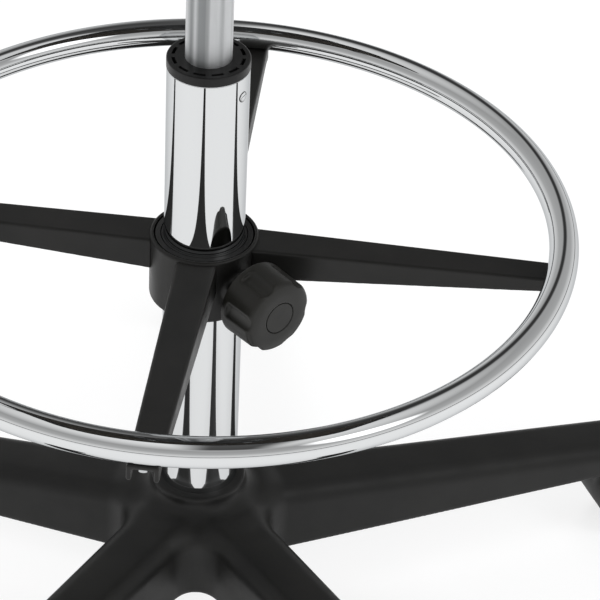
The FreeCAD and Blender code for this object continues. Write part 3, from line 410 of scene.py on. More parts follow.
def bridged(made, rings, closed=True):
    """Faces from each ring of points to the next; a closed run also joins its ends."""
    pairs = list(zip(rings, rings[1:]))
    if closed:
        pairs.append((rings[-1], rings[0]))
    for a, b in pairs:
        for k in range(len(a)):
            j = (k + 1) % len(a)
            corners = list(dict.fromkeys((a[k], a[j], b[j], b[k])))
            if len(corners) > 2:
                made.faces.new(corners)
    bmesh.ops.recalc_face_normals(made, faces=made.faces)


def freed(made, mesh):
    """Work in progress put into a mesh and let go."""
    made.to_mesh(mesh)
    made.free()
    return mesh


def lathe(name, run, segments=96, closed=False):
    """Turn a run of (radius, height) points about Z. A closed run makes a ring or a tube."""
    run = [Vector(point) for point in run]
    if closed:
        run.append(run[0])
    steady = []
    for here, onward in zip(run, run[1:]):
        steady.append(here)
        long = (onward - here).length
        if long > 0.0015:
            steady += [here.lerp(onward, 0.0003 / long), onward.lerp(here, 0.0003 / long)]
    if not closed:
        steady.append(run[-1])
    made = bmesh.new()
    rings = []
    for r, z in steady:
        if r < 1e-6:
            rings.append([made.verts.new((0.0, 0.0, z))] * segments)
            continue
        turn = [2 * math.pi * k / segments for k in range(segments)]
        rings.append([made.verts.new((r * math.cos(a), r * math.sin(a), z)) for a in turn])
    bridged(made, rings, closed)
    return freed(made, bpy.data.meshes.new(name))


def hood_field(low, high, step):
    x, y, z = grid(low, high, step)
    u, w, v = x - TRAIL, np.abs(y), z - WHEEL_R
    rr = np.hypot(u, v)
    shell = round_meet(rr - HOOD_R, w - HOOD_HALF, 0.0035)
    shell = np.maximum(shell, -np.maximum(rr - 0.0262, 0.0052 - w))
    keep = np.maximum(0.6 * u - 0.8 * v, 0.119 * u - 0.993 * v)
    shell = round_meet(shell, keep, 0.0006)
    eye_ring = np.maximum(rr - 0.0080, w - 0.0052)
    crown = np.maximum(np.hypot(x, y) - 0.0068, 0.034 - z)
    body = round_join(np.minimum(shell, eye_ring), crown, 0.0025)
    return round_meet(body, z - 0.0540, 0.0008)


def wheel_mesh(name):
    return lathe(name, outline([
        (0.0, 0.0145, 0), (0.0042, 0.0145, 0), (0.0042, 0.0, 0), (0.0070, 0.0, 0.0005),
        (0.0070, 0.0120, 0.0008), (0.0210, 0.0120, 0.0008), (0.0210, 0.0, 0.0005),
        (WHEEL_R, 0.0, 0.0009), (WHEEL_R, 0.0160, 0.0042), (0.0196, 0.0170, 0.0006),
        (0.0188, 0.0158, 0.0005), (0.0110, 0.0160, 0.0005), (0.0102, 0.0170, 0.0005),
        (0.0040, 0.0170, 0.0006), (0.0034, 0.0163, 0.0003), (0.0, 0.0163, 0)], 4), 72)


hood_nylon = moulded("satin_caster_nylon", (0.008, 0.008, 0.008), (0.012, 0.012, 0.0115), 0.34, 0.46)
wheel_nylon = moulded("rolled_wheel_nylon", (0.008, 0.008, 0.008), (0.016, 0.0155, 0.015), 0.36, 0.6)
low, high = (-0.013, -0.026, 0.012), (0.048, 0.026, 0.057)
hood_mesh = skin("caster_hood", hood_field(low, high, HOOD_STEP), low, HOOD_STEP)
side_mesh = wheel_mesh("caster_wheel")
joints = {j["name"]: j for j in frame["joints"]}
for k in range(1, LEGS + 1):
    stem_at = Vector(joints[f"caster_swivel_{k}"]["pos_m"])
    axle_at = Vector(joints[f"wheel_left_spin_{k}"]["pos_m"])
    heading = math.atan2(axle_at.y - stem_at.y, axle_at.x - stem_at.x)
    stand = Matrix.Translation((stem_at.x, stem_at.y, 0.0)) @ Matrix.Rotation(heading, 4, "Z")
    hood = hood_mesh.copy()
    hood.transform(stand)
    piece(f"caster_hood_moulding_{k}", hood, f"caster_{k}", hood_nylon,
          [f"caster_hood_{k}"], 50.0)
    for side, tilt in (("left", -90.0), ("right", 90.0)):
        wheel = side_mesh.copy()
        outward = Matrix.Rotation(math.radians(tilt), 4, "X") @ Matrix.Translation((0, 0, WHEEL_IN))
        wheel.transform(stand @ Matrix.Translation((TRAIL, 0.0, WHEEL_R)) @ outward)
        piece(f"wheel_{side}_{k}_moulding", wheel, f"wheel_{side}_{k}", wheel_nylon,
              [f"caster_wheel_{side}_{k}"], 35.0)

# ---- column ------------------------------------------------------------------------------
# A 50 mm steel tube, polished and chrome plated, with its tapered foot driven into the hub. A
# black nylon bush with a slotted cap closes the top, held by one domed rivet through the wall.
TUBE_R = 0.025
column_low, column_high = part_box("column_tube")
TUBE_WALL = 0.002
TAPER_TOP = 0.124
TAPER = math.radians(1.32)
PLUG_HOLE_R, PLUG_THICK = 0.0065, 0.003


def chrome(name, tint, smooth, rough):
    """Bright plate: mirror-like, with the faint haze and wipe marks that plating has."""
    material, shader = surface(name, smooth, 1.0)
    tree = material.node_tree
    shader.inputs["Base Color"].default_value = (*tint, 1.0)
    shader.inputs["Specular Tint"].default_value = (0.60, 0.61, 0.62, 1.0)
    haze = noise(tree, 35.0, 4.0)
    tree.links.new(between(tree, haze, smooth, rough), shader.inputs["Roughness"])
    relief(tree, shader, noise(tree, 9.0, 1.0), 0.00025, 0.12)
    return material


def steel(name, tint, rough, lines=(1.0, 1.0, 60.0), scale=40.0):
    """Bare steel with fine turning or drawing lines."""
    material, shader = surface(name, rough, 1.0)
    tree = material.node_tree
    streak = noise(tree, scale, 3.0, lines)
    darker = tuple(0.86 * c for c in tint)
    tree.links.new(two_tones(tree, streak, darker, tint), shader.inputs["Base Color"])
    tree.links.new(between(tree, streak, rough * 0.85, rough * 1.15), shader.inputs["Roughness"])
    return material


def kept(part, material, sharp=35.0):
    """A CAD piece that shows as it is, in its own finish."""
    shown = frame["nodes"][part]
    shown.data.materials.clear()
    shown.data.materials.append(material)
    shown.data.shade_smooth()
    shown.data.set_sharp_from_angle(angle=math.radians(sharp))
    return shown


def softened(part, material, width):
    """A CAD piece with its corners broken by a small round."""
    shown = kept(part, material)
    weld = shown.modifiers.new("joined", "WELD")
    weld.merge_threshold = 0.00001
    flat = shown.modifiers.new("flat", "DECIMATE")
    flat.decimate_type = "DISSOLVE"
    flat.angle_limit = math.radians(1.0)
    round_off = shown.modifiers.new("broken_corners", "BEVEL")
    round_off.width = width
    round_off.segments = 2
    round_off.limit_method = "ANGLE"
    round_off.angle_limit = math.radians(40.0)
    return shown


plate = chrome("bright_chrome", (0.70, 0.71, 0.715), 0.012, 0.040)
zinc = steel("zinc_plated_steel", (0.60, 0.61, 0.62), 0.28, (1.0, 1.0, 1.0), 300.0)
foot_r = TUBE_R - (TAPER_TOP - column_low.z) * math.tan(TAPER)
tube_run = outline([(foot_r, column_low.z, 0), (TUBE_R, TAPER_TOP, 0.02), (TUBE_R, column_high.z, 0.0004),
                    (TUBE_R - TUBE_WALL, column_high.z, 0.0004), (TUBE_R - TUBE_WALL, TAPER_TOP, 0.02),
                    (foot_r - TUBE_WALL, column_low.z + PLUG_THICK, 0),
                    (PLUG_HOLE_R, column_low.z + PLUG_THICK, 0), (PLUG_HOLE_R, column_low.z, 0)])
piece("column_plated_tube", lathe("column_plated_tube", tube_run, 192, True), "base", plate,
      ["column_tube"])
black_bush = moulded("black_bush_nylon", (0.007, 0.007, 0.007), (0.011, 0.011, 0.011), 0.30, 0.42)
kept("column_bush", black_bush)
RIVET_AZ = math.radians(-34.0)
RIVET_R = 0.0030
seat_of_rivet = Matrix.Rotation(RIVET_AZ, 4, "Z") @ Matrix.Rotation(math.pi / 2, 4, "Y")
seat_of_rivet = Matrix.Translation((0, 0, column_high.z - 0.013)) @ seat_of_rivet
quarter = [math.pi / 2 * k / 8 for k in range(9)]
rivet_mesh = lathe("bush_rivet_dome", [(RIVET_R, TUBE_R - 0.0012)] + [
    (RIVET_R * math.cos(a), TUBE_R + 0.0001 + 0.0007 * math.sin(a)) for a in quarter[:-1]] + [
    (0.0, TUBE_R + 0.0008)], 48)
rivet_mesh.transform(seat_of_rivet)
piece("bush_rivet_dome", rivet_mesh, "base", plate, ["bush_rivet"], 60.0)
# a thin flush black ring round the dome: painted shade of the recess round its edge
shade_ring_run = [(RIVET_R + 0.0001, TUBE_R - 0.0010), (RIVET_R + 0.0001, TUBE_R + 0.00003),
           (RIVET_R + 0.0005, TUBE_R + 0.00003), (RIVET_R + 0.0005, TUBE_R - 0.0010)]
shade_ring_mesh = lathe("bush_rivet_painted_shade", shade_ring_run, 48, True)
shade_ring_mesh.transform(seat_of_rivet)
piece("bush_rivet_painted_shade", shade_ring_mesh, "base", black_bush, sharp=60.0)
for part in ("bearing_lower_race", "bearing_cage", "bearing_upper_race", "piston_rod", "retaining_clip"):
    kept(part, zinc)
for k in range(1, LEGS + 1):
    kept(f"caster_stem_{k}", zinc)
    kept(f"caster_axle_{k}", zinc)
rubber, shader = surface("black_buffer_rubber", 0.7, gloss=0.3)
tree = rubber.node_tree
bloom = noise(tree, 90.0, 4.0)
tree.links.new(two_tones(tree, bloom, (0.018, 0.018, 0.018), (0.03, 0.03, 0.03)), shader.inputs["Base Color"])
relief(tree, shader, noise(tree, 1500.0), 0.00008)
kept("rebound_buffer", rubber)

# ---- gas cylinder ------------------------------------------------------------------------
# The gas spring's 28 mm cylinder, ground and left satin, with fine marks round it. Its tapered
# head wedges into the seat mechanism, and the steel release pin stands out of the top.
satin, shader = surface("satin_ground_steel", 0.37, 1.0)
shader.inputs["Anisotropic"].default_value = 0.9
shader.inputs["Anisotropic Rotation"].default_value = 0.25
tree = satin.node_tree
around = node(tree, "Tangent", direction_type="RADIAL", axis="Z")
tree.links.new(around.outputs["Tangent"], shader.inputs["Tangent"])
# lengthwise lighter and darker streaks painted into the colour, from dark grey to light grey
lengthwise_streaks = noise(tree, 150.0, 1.0, (1.0, 1.0, 0.005))
marks = noise(tree, 30.0, 3.0, (1.0, 1.0, 55.0))
tree.links.new(two_tones(tree, lengthwise_streaks, (0.31, 0.32, 0.325), (0.68, 0.69, 0.70), 0.40, 0.58),
               shader.inputs["Base Color"])
tree.links.new(between(tree, marks, 0.34, 0.40), shader.inputs["Roughness"])
gas_low, gas_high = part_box("gas_cylinder")
GAS_R = 0.0141
gas_run = outline([(0.0, gas_low.z, 0), (GAS_R, gas_low.z, 0.001), (GAS_R, gas_high.z - 0.045, 0.01),
                   (GAS_R - 0.0012, gas_high.z, 0.0006), (0.0042, gas_high.z, 0.0003),
                   (0.0042, gas_high.z - 0.02, 0), (0.0, gas_high.z - 0.02, 0)])
piece("gas_cylinder_ground", lathe("gas_cylinder_ground", gas_run, 128), "seat", satin,
      ["gas_cylinder"])
kept("release_pin", zinc)

# ---- foot ring ---------------------------------------------------------------------------
# An 18 mm steel tube bent to a full circle, butt welded, polished and chrome plated. It sits in
# saddles at the ends of four spokes, and a screw from below each spoke holds it.
RING_R = 0.221
RING_TUBE = 0.0091
RING_Z = 0.314
around_tube = [2 * math.pi * k / 40 for k in range(40)]
ring_run = [(RING_R + RING_TUBE * math.cos(a), RING_Z + RING_TUBE * math.sin(a)) for a in around_tube]
piece("foot_ring_plated", lathe("foot_ring_plated", ring_run, 288, True), "ring", plate,
      ["foot_ring"], None)
kept("ring_screws", zinc)

# ---- ring spider -------------------------------------------------------------------------
# One black moulding: a hub sleeve with a boss for the clamp stud, and four U-shaped spokes that
# taper to the ring, open below. A plain collar and the sliding sleeve show as rings in its top.
SPOKE_FIRST = math.radians(-8.35)
SPOKE_TOP = RING_Z - RING_TUBE
SPOKE_START, SPOKE_END = 0.0310, 0.226
HUB_LOW, HUB_HIGH = 0.262, 0.3065
KNOB_AZ = math.radians(-51.0)
KNOB_Z = 0.2845
SPIDER_STEP = 0.0007
COLLAR_LOW = 0.3015
COLLAR_IN, COLLAR_OUT = 0.02705, 0.0302


def spoke_field(low, high, step):
    x, y, z = grid(low, high, step)
    y = np.abs(y)
    run = np.clip((x - 0.0307) / (SPOKE_END - 0.0307), 0.0, 1.0)
    half = 0.0125 - 0.0032 * run
    foot = SPOKE_TOP - (0.0215 - 0.0130 * run) - 0.0025 * np.clip((x - 0.214) / 0.008, 0.0, 1.0)
    outer = round_meet(y - half - 0.02 * (SPOKE_TOP - z) * 0.5, z - SPOKE_TOP, 0.0016)
    outer = round_meet(outer, foot - z, 0.0012)
    tube = np.hypot(np.hypot(x, y) - RING_R, z - RING_Z) - RING_TUBE
    outer = np.maximum(outer, -tube)
    inner = round_meet(y - half + 0.0028, z - SPOKE_TOP + 0.0030, 0.0015)
    outer = np.maximum(outer, -inner)
    return round_meet(outer, np.maximum(x - SPOKE_END, SPOKE_START - x), 0.0008)


def spider_hub_field(low, high, step):
    x, y, z = grid(low, high, step)
    rho = np.hypot(x, y)
    drum = round_meet(rho - 0.0337, np.maximum(z - HUB_HIGH, HUB_LOW - z), 0.0016)
    out = x * math.cos(KNOB_AZ) + y * math.sin(KNOB_AZ)
    aside = y * math.cos(KNOB_AZ) - x * math.sin(KNOB_AZ)
    boss = round_meet(np.hypot(aside, z - KNOB_Z) - 0.0095, np.maximum(out - 0.046, -out), 0.0010)
    body = round_join(drum, boss, 0.0030)
    bore = np.minimum(rho - 0.02708, np.maximum(rho - 0.0311, COLLAR_LOW - z))
    stud = np.maximum(np.hypot(aside, z - KNOB_Z) - 0.0051, -out)
    return np.maximum(body, -np.minimum(bore, stud))


spider_nylon = moulded("grained_spider_nylon", (0.0075, 0.0075, 0.0070), (0.0115, 0.011, 0.0102), 0.38, 0.48)
low, high = (0.0295, -0.0145, 0.279), (0.2280, 0.0145, 0.3105)
spoke_mesh = skin("spoke", spoke_field(low, high, SPIDER_STEP), low, SPIDER_STEP)
low, high = (-0.0350, -0.0480, 0.260), (0.0500, 0.0350, 0.308)
hub_mesh = skin("spider_hub", spider_hub_field(low, high, SPIDER_STEP), low, SPIDER_STEP)
joined = bmesh.new()
joined.from_mesh(hub_mesh)
for k in range(4):
    spoke = spoke_mesh.copy()
    spoke.transform(Matrix.Rotation(SPOKE_FIRST + k * math.pi / 2, 4, "Z"))
    joined.from_mesh(spoke)
spider_mesh = freed(joined, bpy.data.meshes.new("ring_spider_moulding"))
piece("ring_spider_moulding", spider_mesh, "ring", spider_nylon, ["ring_spider"], 50.0)
collar_run = outline([(COLLAR_IN, COLLAR_LOW, 0), (COLLAR_IN, HUB_HIGH - 0.0004, 0.0001),
                      (COLLAR_OUT, HUB_HIGH - 0.0006, 0.0003), (COLLAR_OUT, COLLAR_LOW, 0)])
smooth_nylon = moulded("smooth_collar_nylon", (0.008, 0.008, 0.008), (0.012, 0.012, 0.012),
                       0.28, 0.38, 900.0, 0.00002)
piece("ring_collar_turned", lathe("ring_collar_turned", collar_run, 128, True), "ring",
      smooth_nylon, ["ring_collar"])
liner_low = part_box("ring_liner")[0]
liner_run = outline([(0.02505, liner_low.z, 0), (0.02505, HUB_HIGH - 0.0005, 0.0002),
                     (0.0265, HUB_HIGH - 0.0005, 0.0002), (0.0265, HUB_LOW - 0.0001, 0),
                     (0.0300, HUB_LOW - 0.0001, 0.0004), (0.0300, liner_low.z, 0.0006)])
piece("ring_liner_turned", lathe("ring_liner_turned", liner_run, 128, True), "ring_sleeve",
      smooth_nylon, ["ring_liner"])

# ---- clamp knob --------------------------------------------------------------------------
# A black phenolic hand knob with six finger flutes, moulded round a steel stud, with a round cap
# pressed into its face. Turning it drives the nylon shoe on the stud against the sleeve.
KNOB_START = 0.047
KNOB_LENGTH = 0.027
KNOB_R = 0.0245
KNOB_TURN = math.radians(21.0)
CAP_R = 0.0105
KNOB_STEP = 0.0005


def knob_field(low, high, step, radius, length, flute_r, flute_depth, rim, cap_r):
    """A fluted knob standing on z = 0, face up, with its first flute towards +X."""
    x, y, z = grid(low, high, step)
    rho = np.hypot(x, y)
    side = rho - radius + 0.018 * z
    body = round_meet(side, z - length + 0.5 * np.maximum(rho - 0.6 * radius, 0.0) ** 2 / radius, 0.0022)
    body = round_meet(body, -z, 0.0008)
    centre = radius - flute_depth + flute_r
    for k in range(6):
        a = k * math.pi / 3
        flute = np.hypot(x - centre * math.cos(a), y - centre * math.sin(a)) - flute_r
        flute = round_meet(flute, rim - z, 0.0020)
        body = round_meet(body, -flute, 0.0007)
    cap = np.maximum(rho - cap_r, length - 0.0016 - z)
    return np.maximum(body, -cap)


def laid_outward(azimuth, z, start):
    """Places what stands on z = 0 so that it points out along a level azimuth."""
    turn = Matrix.Rotation(azimuth, 4, "Z") @ Matrix.Rotation(math.pi / 2, 4, "Y")
    return Matrix.Translation((0, 0, z)) @ turn @ Matrix.Translation((0, 0, start))


phenolic = moulded("satin_knob_plastic", (0.0095, 0.0095, 0.0080), (0.0140, 0.0135, 0.0115),
                   0.36, 0.46, 1900.0)
reach = KNOB_R + 0.002
low, high = (-reach, -reach, -0.001), (reach, reach, KNOB_LENGTH + 0.002)
field = knob_field(low, high, KNOB_STEP, KNOB_R, KNOB_LENGTH, 0.0085, 0.0027, 0.0040, CAP_R)
knob_mesh = skin("clamp_knob_moulding", field, low, KNOB_STEP)
out = laid_outward(KNOB_AZ, KNOB_Z, KNOB_START)
knob_mesh.transform(out @ Matrix.Rotation(math.pi + KNOB_TURN, 4, "Z"))
piece("clamp_knob_moulding", knob_mesh, "clamp", phenolic, ["clamp_knob"], 60.0)
cap_mesh = lathe("clamp_knob_cap", outline([(0.0, 0.0, 0), (CAP_R - 0.0003, 0.0, 0),
                                            (CAP_R - 0.0003, 0.0017, 0.0004), (0.0, 0.0019, 0)]), 64)
cap_mesh.transform(out @ Matrix.Translation((0, 0, KNOB_LENGTH - 0.0018)))
piece("clamp_knob_cap", cap_mesh, "clamp", phenolic, ["knob_cap"])
kept("clamp_stud", zinc)
kept("clamp_shoe", smooth_nylon)

# ---- seat mechanism ----------------------------------------------------------------------
# A housing of folded and welded 3 mm steel, black powder coated, with the socket that the gas
# spring wedges into. A round steel lever in it, with a plastic grip, presses the release pin.
coat_dark, coat_light = (0.012, 0.012, 0.0125), (0.017, 0.017, 0.0175)
powder, shader = surface("black_powder_coat", 0.42, gloss=0.4)
tree = powder.node_tree
tree.links.new(two_tones(tree, noise(tree, 30.0, 2.0), coat_dark, coat_light), shader.inputs["Base Color"])
tree.links.new(between(tree, noise(tree, 80.0, 3.0), 0.34, 0.50), shader.inputs["Roughness"])
relief(tree, shader, noise(tree, 700.0, 3.0), 0.00012, 0.5)
softened("seat_plate", powder, 0.0008)
kept("height_lever", powder)
kept("lever_pivot", zinc)
kept("seat_bolts", zinc)


def grip_field(low, high, step):
    """A flat paddle with rounded ends, hollowed a little for the fingers, ribbed across."""
    x, y, z = grid(low, high, step)
    half = (high[0] - low[0]) / 2 - 0.003
    end = np.maximum(np.abs(x) - half + 0.011, 0.0)
    plan = np.hypot(end, y) - 0.011 - 0.0014 * np.cos(np.clip(x / half, -1.0, 1.0) * math.pi)
    thick = np.abs(z) - 0.0058 + 0.0010 * np.exp(-(y / 0.007) ** 2)
    ribs = 0.0005 * np.clip(np.cos(x * 2 * math.pi / 0.005), 0.0, 1.0) * (np.abs(x + 0.008) < 0.019)
    body = round_meet(plan, thick + ribs, 0.0032)
    return np.maximum(body, -np.maximum(np.hypot(y, z) - 0.0045, -0.015 - x))


GRIP_STEP = 0.0008
grip_low, grip_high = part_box("lever_grip")
grip_mid = (grip_low + grip_high) / 2
half = (grip_high - grip_low) / 2
low, high = (-half.x - 0.003, -0.016, -0.009), (half.x + 0.003, 0.016, 0.009)
grip_mesh = skin("lever_grip_moulding", grip_field(low, high, GRIP_STEP), low, GRIP_STEP)
grip_mesh.transform(Matrix.Translation(grip_mid))
piece("lever_grip_moulding", grip_mesh, "lever", phenolic, ["lever_grip"], 60.0)

# ---- seat board --------------------------------------------------------------------------
# 12 mm birch plywood, sawn to a rounded square and stained black below: nine veneers at its edge,
# face grain across. Steel bolts hold it to the housing, and four blind holes wait for armrests.
PLIES = 9
board_low, board_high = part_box("seat_board")
birch, shader = surface("birch_plywood", 0.62, gloss=0.3)
tree = birch.node_tree
grain = noise(tree, 60.0, 5.0, (0.08, 1.0, 1.0))
face_colour = two_tones(tree, grain, (0.016, 0.014, 0.012), (0.034, 0.028, 0.022))
heights = node(tree, "SeparateXYZ", {"Vector": node(tree, "TexCoord").outputs["Object"]})
layer = worked(tree, "PINGPONG", heights.outputs["Z"], (board_high.z - board_low.z) / PLIES)
plies = between(tree, layer, 0.0, 1.0, 0.0004, 0.0009)
edge_colour = two_tones(tree, plies, (0.24, 0.15, 0.08), (0.52, 0.38, 0.23), 0.1, 0.9)
tilt = node(tree, "SeparateXYZ", {"Vector": node(tree, "NewGeometry").outputs["Normal"]})
flatness = worked(tree, "ABSOLUTE", tilt.outputs["Z"])
either = node(tree, "Mix", {0: flatness, 6: edge_colour, 7: face_colour}, data_type="RGBA")
tree.links.new(either.outputs[2], shader.inputs["Base Color"])
relief(tree, shader, grain, 0.0002, 0.5)
softened("seat_board", birch, 0.0006)

# ---- seat cushion ------------------------------------------------------------------------
# Moulded foam, dished a little and rolled down at the front, in a sewn cover of black woven cloth.
# A piped seam joins the top panel to the border, which is pulled under the board and stapled.
PAD_STEP = 0.005
SEAT_CORNER = 0.085
PIPE_R = 0.0022
PAD_INSET = 0.006
PAD_MARGIN = 0.012
PAD_HELD_BELOW = 0.004
PAD_SWELL = 0.012
PAD_PRESSURE = 1.3
PAD_SPACING = 0.006
SEAM_INSET = 0.008
SEAM_DRAWN, SEAM_WIDTH = 0.0022, 0.006


def threads(tree, pitch):
    """Plain weave, over and under, laid on whichever way the cloth faces."""
    place = node(tree, "TexCoord").outputs["Object"]
    wander = node(tree, "TexNoise", {"Scale": 90.0, "Vector": place}).outputs["Color"]
    shift = node(tree, "VectorMath", {0: wander, 1: (0.0006, 0.0006, 0.0006), 2: place},
                 operation="MULTIPLY_ADD").outputs["Vector"]
    turns = node(tree, "VectorMath", {0: shift, "Scale": 2 * math.pi / pitch}, operation="SCALE")
    wave = node(tree, "VectorMath", {0: turns.outputs["Vector"]}, operation="SINE")
    sides = node(tree, "SeparateXYZ", {"Vector": wave.outputs["Vector"]})
    facing = node(tree, "NewGeometry").outputs["Normal"]
    squared = node(tree, "VectorMath", {0: facing, 1: facing}, operation="MULTIPLY")
    share = node(tree, "SeparateXYZ", {"Vector": squared.outputs["Vector"]})
    total = 0.0
    for first, second, third in (("X", "Y", "Z"), ("Y", "Z", "X"), ("Z", "X", "Y")):
        crossed = worked(tree, "MULTIPLY", sides.outputs[first], sides.outputs[second])
        total = node(tree, "Math", {0: crossed, 1: share.outputs[third], 2: total},
                     operation="MULTIPLY_ADD").outputs[0]
    return total


def woven(name, dark, light, pitch):
    """Black wool-like cloth: a weave with lighter crossings, slubs, a little fuzz at the edge."""
    material, shader = surface(name, 0.86, gloss=0.2)
    shader.inputs["Sheen Weight"].default_value = 0.25
    shader.inputs["Sheen Roughness"].default_value = 0.45
    shader.inputs["Sheen Tint"].default_value = (0.35, 0.35, 0.36, 1.0)
    tree = material.node_tree
    weave = threads(tree, pitch)
    middle = tuple((a + b) / 2 for a, b in zip(dark, light))
    thread = two_tones(tree, between(tree, weave, 0.0, 1.0, -0.8, 0.8), dark, light, 0.1, 0.9)
    slub = two_tones(tree, noise(tree, 260.0, 3.0), dark, middle)
    blend = node(tree, "Mix", {0: 0.4, 6: thread, 7: slub}, data_type="RGBA")
    tree.links.new(blend.outputs[2], shader.inputs["Base Color"])
    relief(tree, shader, weave, 0.0005, 0.8)
    return material


def plan_distance(x, y, half_x, half_y, corner):
    """How far out of a rounded rectangle."""
    qx, qy = np.abs(x) - half_x + corner, np.abs(y) - half_y + corner
    outside = np.hypot(np.maximum(qx, 0.0), np.maximum(qy, 0.0))
    return outside + np.minimum(np.maximum(qx, qy), 0.0) - corner


def plan_points(half_x, half_y, corner, spacing):
    """Places round a rounded rectangle, with the way out of it at each."""
    points = []
    for k, (sx, sy) in enumerate(((1, 1), (-1, 1), (-1, -1), (1, -1))):
        centre = Vector((sx * (half_x - corner), sy * (half_y - corner)))
        steps = max(6, int(corner * math.pi / 2 / spacing))
        for i in range(steps + 1):
            a = math.pi / 2 * (k + i / steps)
            out = Vector((math.cos(a), math.sin(a)))
            points.append((centre + out * corner, out))
        run = 2 * (half_x - corner) if k % 2 == 0 else 2 * (half_y - corner)
        onward = Vector((-math.sin(a), math.cos(a)))
        steps = int(run / spacing)
        points += [(points[-1][0] + onward * spacing * 0.98 * i, out) for i in range(1, steps)]
    return points


def puffed(mesh):
    """The pad's cover blown up like foam fill: Cloth with pressure, its foot held, no gravity."""
    pad = bpy.data.objects.new("pad_in_work", mesh)
    bpy.context.scene.collection.objects.link(pad)
    held = pad.vertex_groups.new(name="held")
    held.add([v.index for v in mesh.vertices if v.co.z < PAD_HELD_BELOW], 1.0, "ADD")
    cloth = pad.modifiers.new("cover", "CLOTH")
    cloth.settings.use_pressure = True
    cloth.settings.uniform_pressure_force = PAD_PRESSURE
    cloth.settings.effector_weights.gravity = 0.0
    cloth.settings.vertex_group_mass = "held"
    cloth.settings.quality = 4
    cloth.settings.tension_stiffness = 20.0
    cloth.settings.compression_stiffness = 20.0
    cloth.collision_settings.use_collision = False
    cloth.point_cache.frame_end = 20
    for step in range(1, 21):
        bpy.context.scene.frame_set(step)
    blown = pad.evaluated_get(bpy.context.evaluated_depsgraph_get()).to_mesh()
    before = np.array([v.co for v in mesh.vertices])
    after = np.array([v.co for v in blown.vertices])
    move = after - before
    far = np.linalg.norm(move, axis=1, keepdims=True)
    move *= PAD_SWELL * np.tanh(far / PAD_SWELL) / np.maximum(far, 1e-9)
    bpy.data.objects.remove(pad)
    bpy.context.scene.frame_set(1)
    mesh.vertices.foreach_set("co", (before + move).astype(np.float32).ravel())
    mesh.update()
    return mesh


def evened(made, rounds):
    """Smooths out the steps of the sampling."""
    for _ in range(rounds):
        bmesh.ops.smooth_vert(made, verts=made.verts, factor=0.5, use_axis_x=True, use_axis_y=True,
                              use_axis_z=True)


def relaxed(mesh):
    made = bmesh.new()
    made.from_mesh(mesh)
    evened(made, 4)
    return freed(made, mesh)


def cushion(name, field, low, loop):
    """Sampled, blown up, evened, and drawn in along its seam. Returns the mesh and seam points."""
    mesh = puffed(relaxed(skin(name, field, low, PAD_STEP)))
    made = bmesh.new()
    made.from_mesh(mesh)
    bmesh.ops.subdivide_edges(made, edges=made.edges[:], cuts=1, use_grid_fill=True)
    evened(made, 3)
    made.normal_update()
    tree = BVHTree.FromBMesh(made)
    seam = [tree.find_nearest(p)[0] for p in loop]
    seats = KDTree(len(seam))
    for i, place in enumerate(seam):
        seats.insert(place, i)
    seats.balance()
    for v in made.verts:
        off = seats.find(v.co)[2]
        if off < 0.03:
            v.co -= v.normal * SEAM_DRAWN * math.exp(-(off / SEAM_WIDTH) ** 2)
    return freed(made, mesh), seam


def pipe(name, seam, radius, sides=10):
    """A closed cord along seam points."""
    made = bmesh.new()
    count = len(seam)
    centre = sum(seam, Vector()) / count
    rings = []
    for i, here in enumerate(seam):
        along = (seam[(i + 1) % count] - seam[i - 1]).normalized()
        out = (here - centre)
        out = (out - along * out.dot(along)).normalized()
        up = along.cross(out)
        turn = [2 * math.pi * k / sides for k in range(sides)]
        rings.append([made.verts.new(here + (out * math.cos(a) + up * math.sin(a)) * radius) for a in turn])
    bridged(made, rings[-1:] + rings[:-1])
    return freed(made, bpy.data.meshes.new(name))


def band(outline_points, profile):
    """A closed profile of (outward, height) carried round an outline."""
    made = bmesh.new()
    rings = []
    for place, out in outline_points:
        rings.append([made.verts.new((*(place + out * o), z)) for o, z in profile])
    bridged(made, rings[-1:] + rings[:-1])
    return made


cloth_black = woven("black_woven_cloth", (0.010, 0.010, 0.0105), (0.036, 0.036, 0.038), 0.0016)
seat_low, seat_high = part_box("seat_cushion")
seat_mid = Vector(((seat_low.x + seat_high.x) / 2, (seat_low.y + seat_high.y) / 2, seat_low.z))
seat_half_x, seat_half_y = (seat_high.x - seat_low.x) / 2, (seat_high.y - seat_low.y) / 2
seat_thick = seat_high.z - seat_low.z


def front_roll(y):
    """How far the seat's front edge has rolled down, 0 to 1."""
    return np.clip((-y - 0.120) / 0.115, 0.0, 1.0) ** 2


def seat_field(low, high, step):
    x, y, z = grid(low, high, step)
    edge = plan_distance(x, y, seat_half_x - PAD_INSET, seat_half_y - PAD_INSET, SEAT_CORNER - PAD_INSET)
    top = seat_thick - 0.010 - 0.006 * np.exp(-(x / 0.13) ** 2 - ((y - 0.03) / 0.12) ** 2)
    top = top - 0.020 * front_roll(y)
    tuck = edge + 0.010 * np.clip(1.0 - z / 0.022, 0.0, 1.0) ** 2
    return round_meet(round_meet(tuck, z - top, 0.024), -z, 0.003)


reach_x, reach_y = seat_half_x + PAD_MARGIN, seat_half_y + PAD_MARGIN
low, high = (-reach_x, -reach_y, -0.010), (reach_x, reach_y, seat_thick + 0.008)
ends = plan_points(seat_half_x, seat_half_y, SEAT_CORNER, PAD_SPACING)
loop = []
for place, out in ends:
    fall = 0.018 * front_roll(place.y)
    loop.append(Vector((*(place - out * SEAM_INSET), seat_thick - 0.018 - fall)))
seat_mesh, seam = cushion("seat_cushion_cover", seat_field(low, high, PAD_STEP), low, loop)
board_foot = board_low.z - seat_mid.z
wrap = band(ends, [(-0.014, 0.010), (-0.009, 0.006), (-0.0115, -0.003), (-0.0125, board_foot + 0.002),
                   (-0.0145, board_foot - 0.0010), (-0.040, board_foot - 0.0011),
                   (-0.040, board_foot - 0.0001), (-0.0138, board_foot - 0.0001), (-0.0138, 0.004)])
wrap.from_mesh(seat_mesh)
freed(wrap, seat_mesh)
seat_mesh.transform(Matrix.Translation(seat_mid))
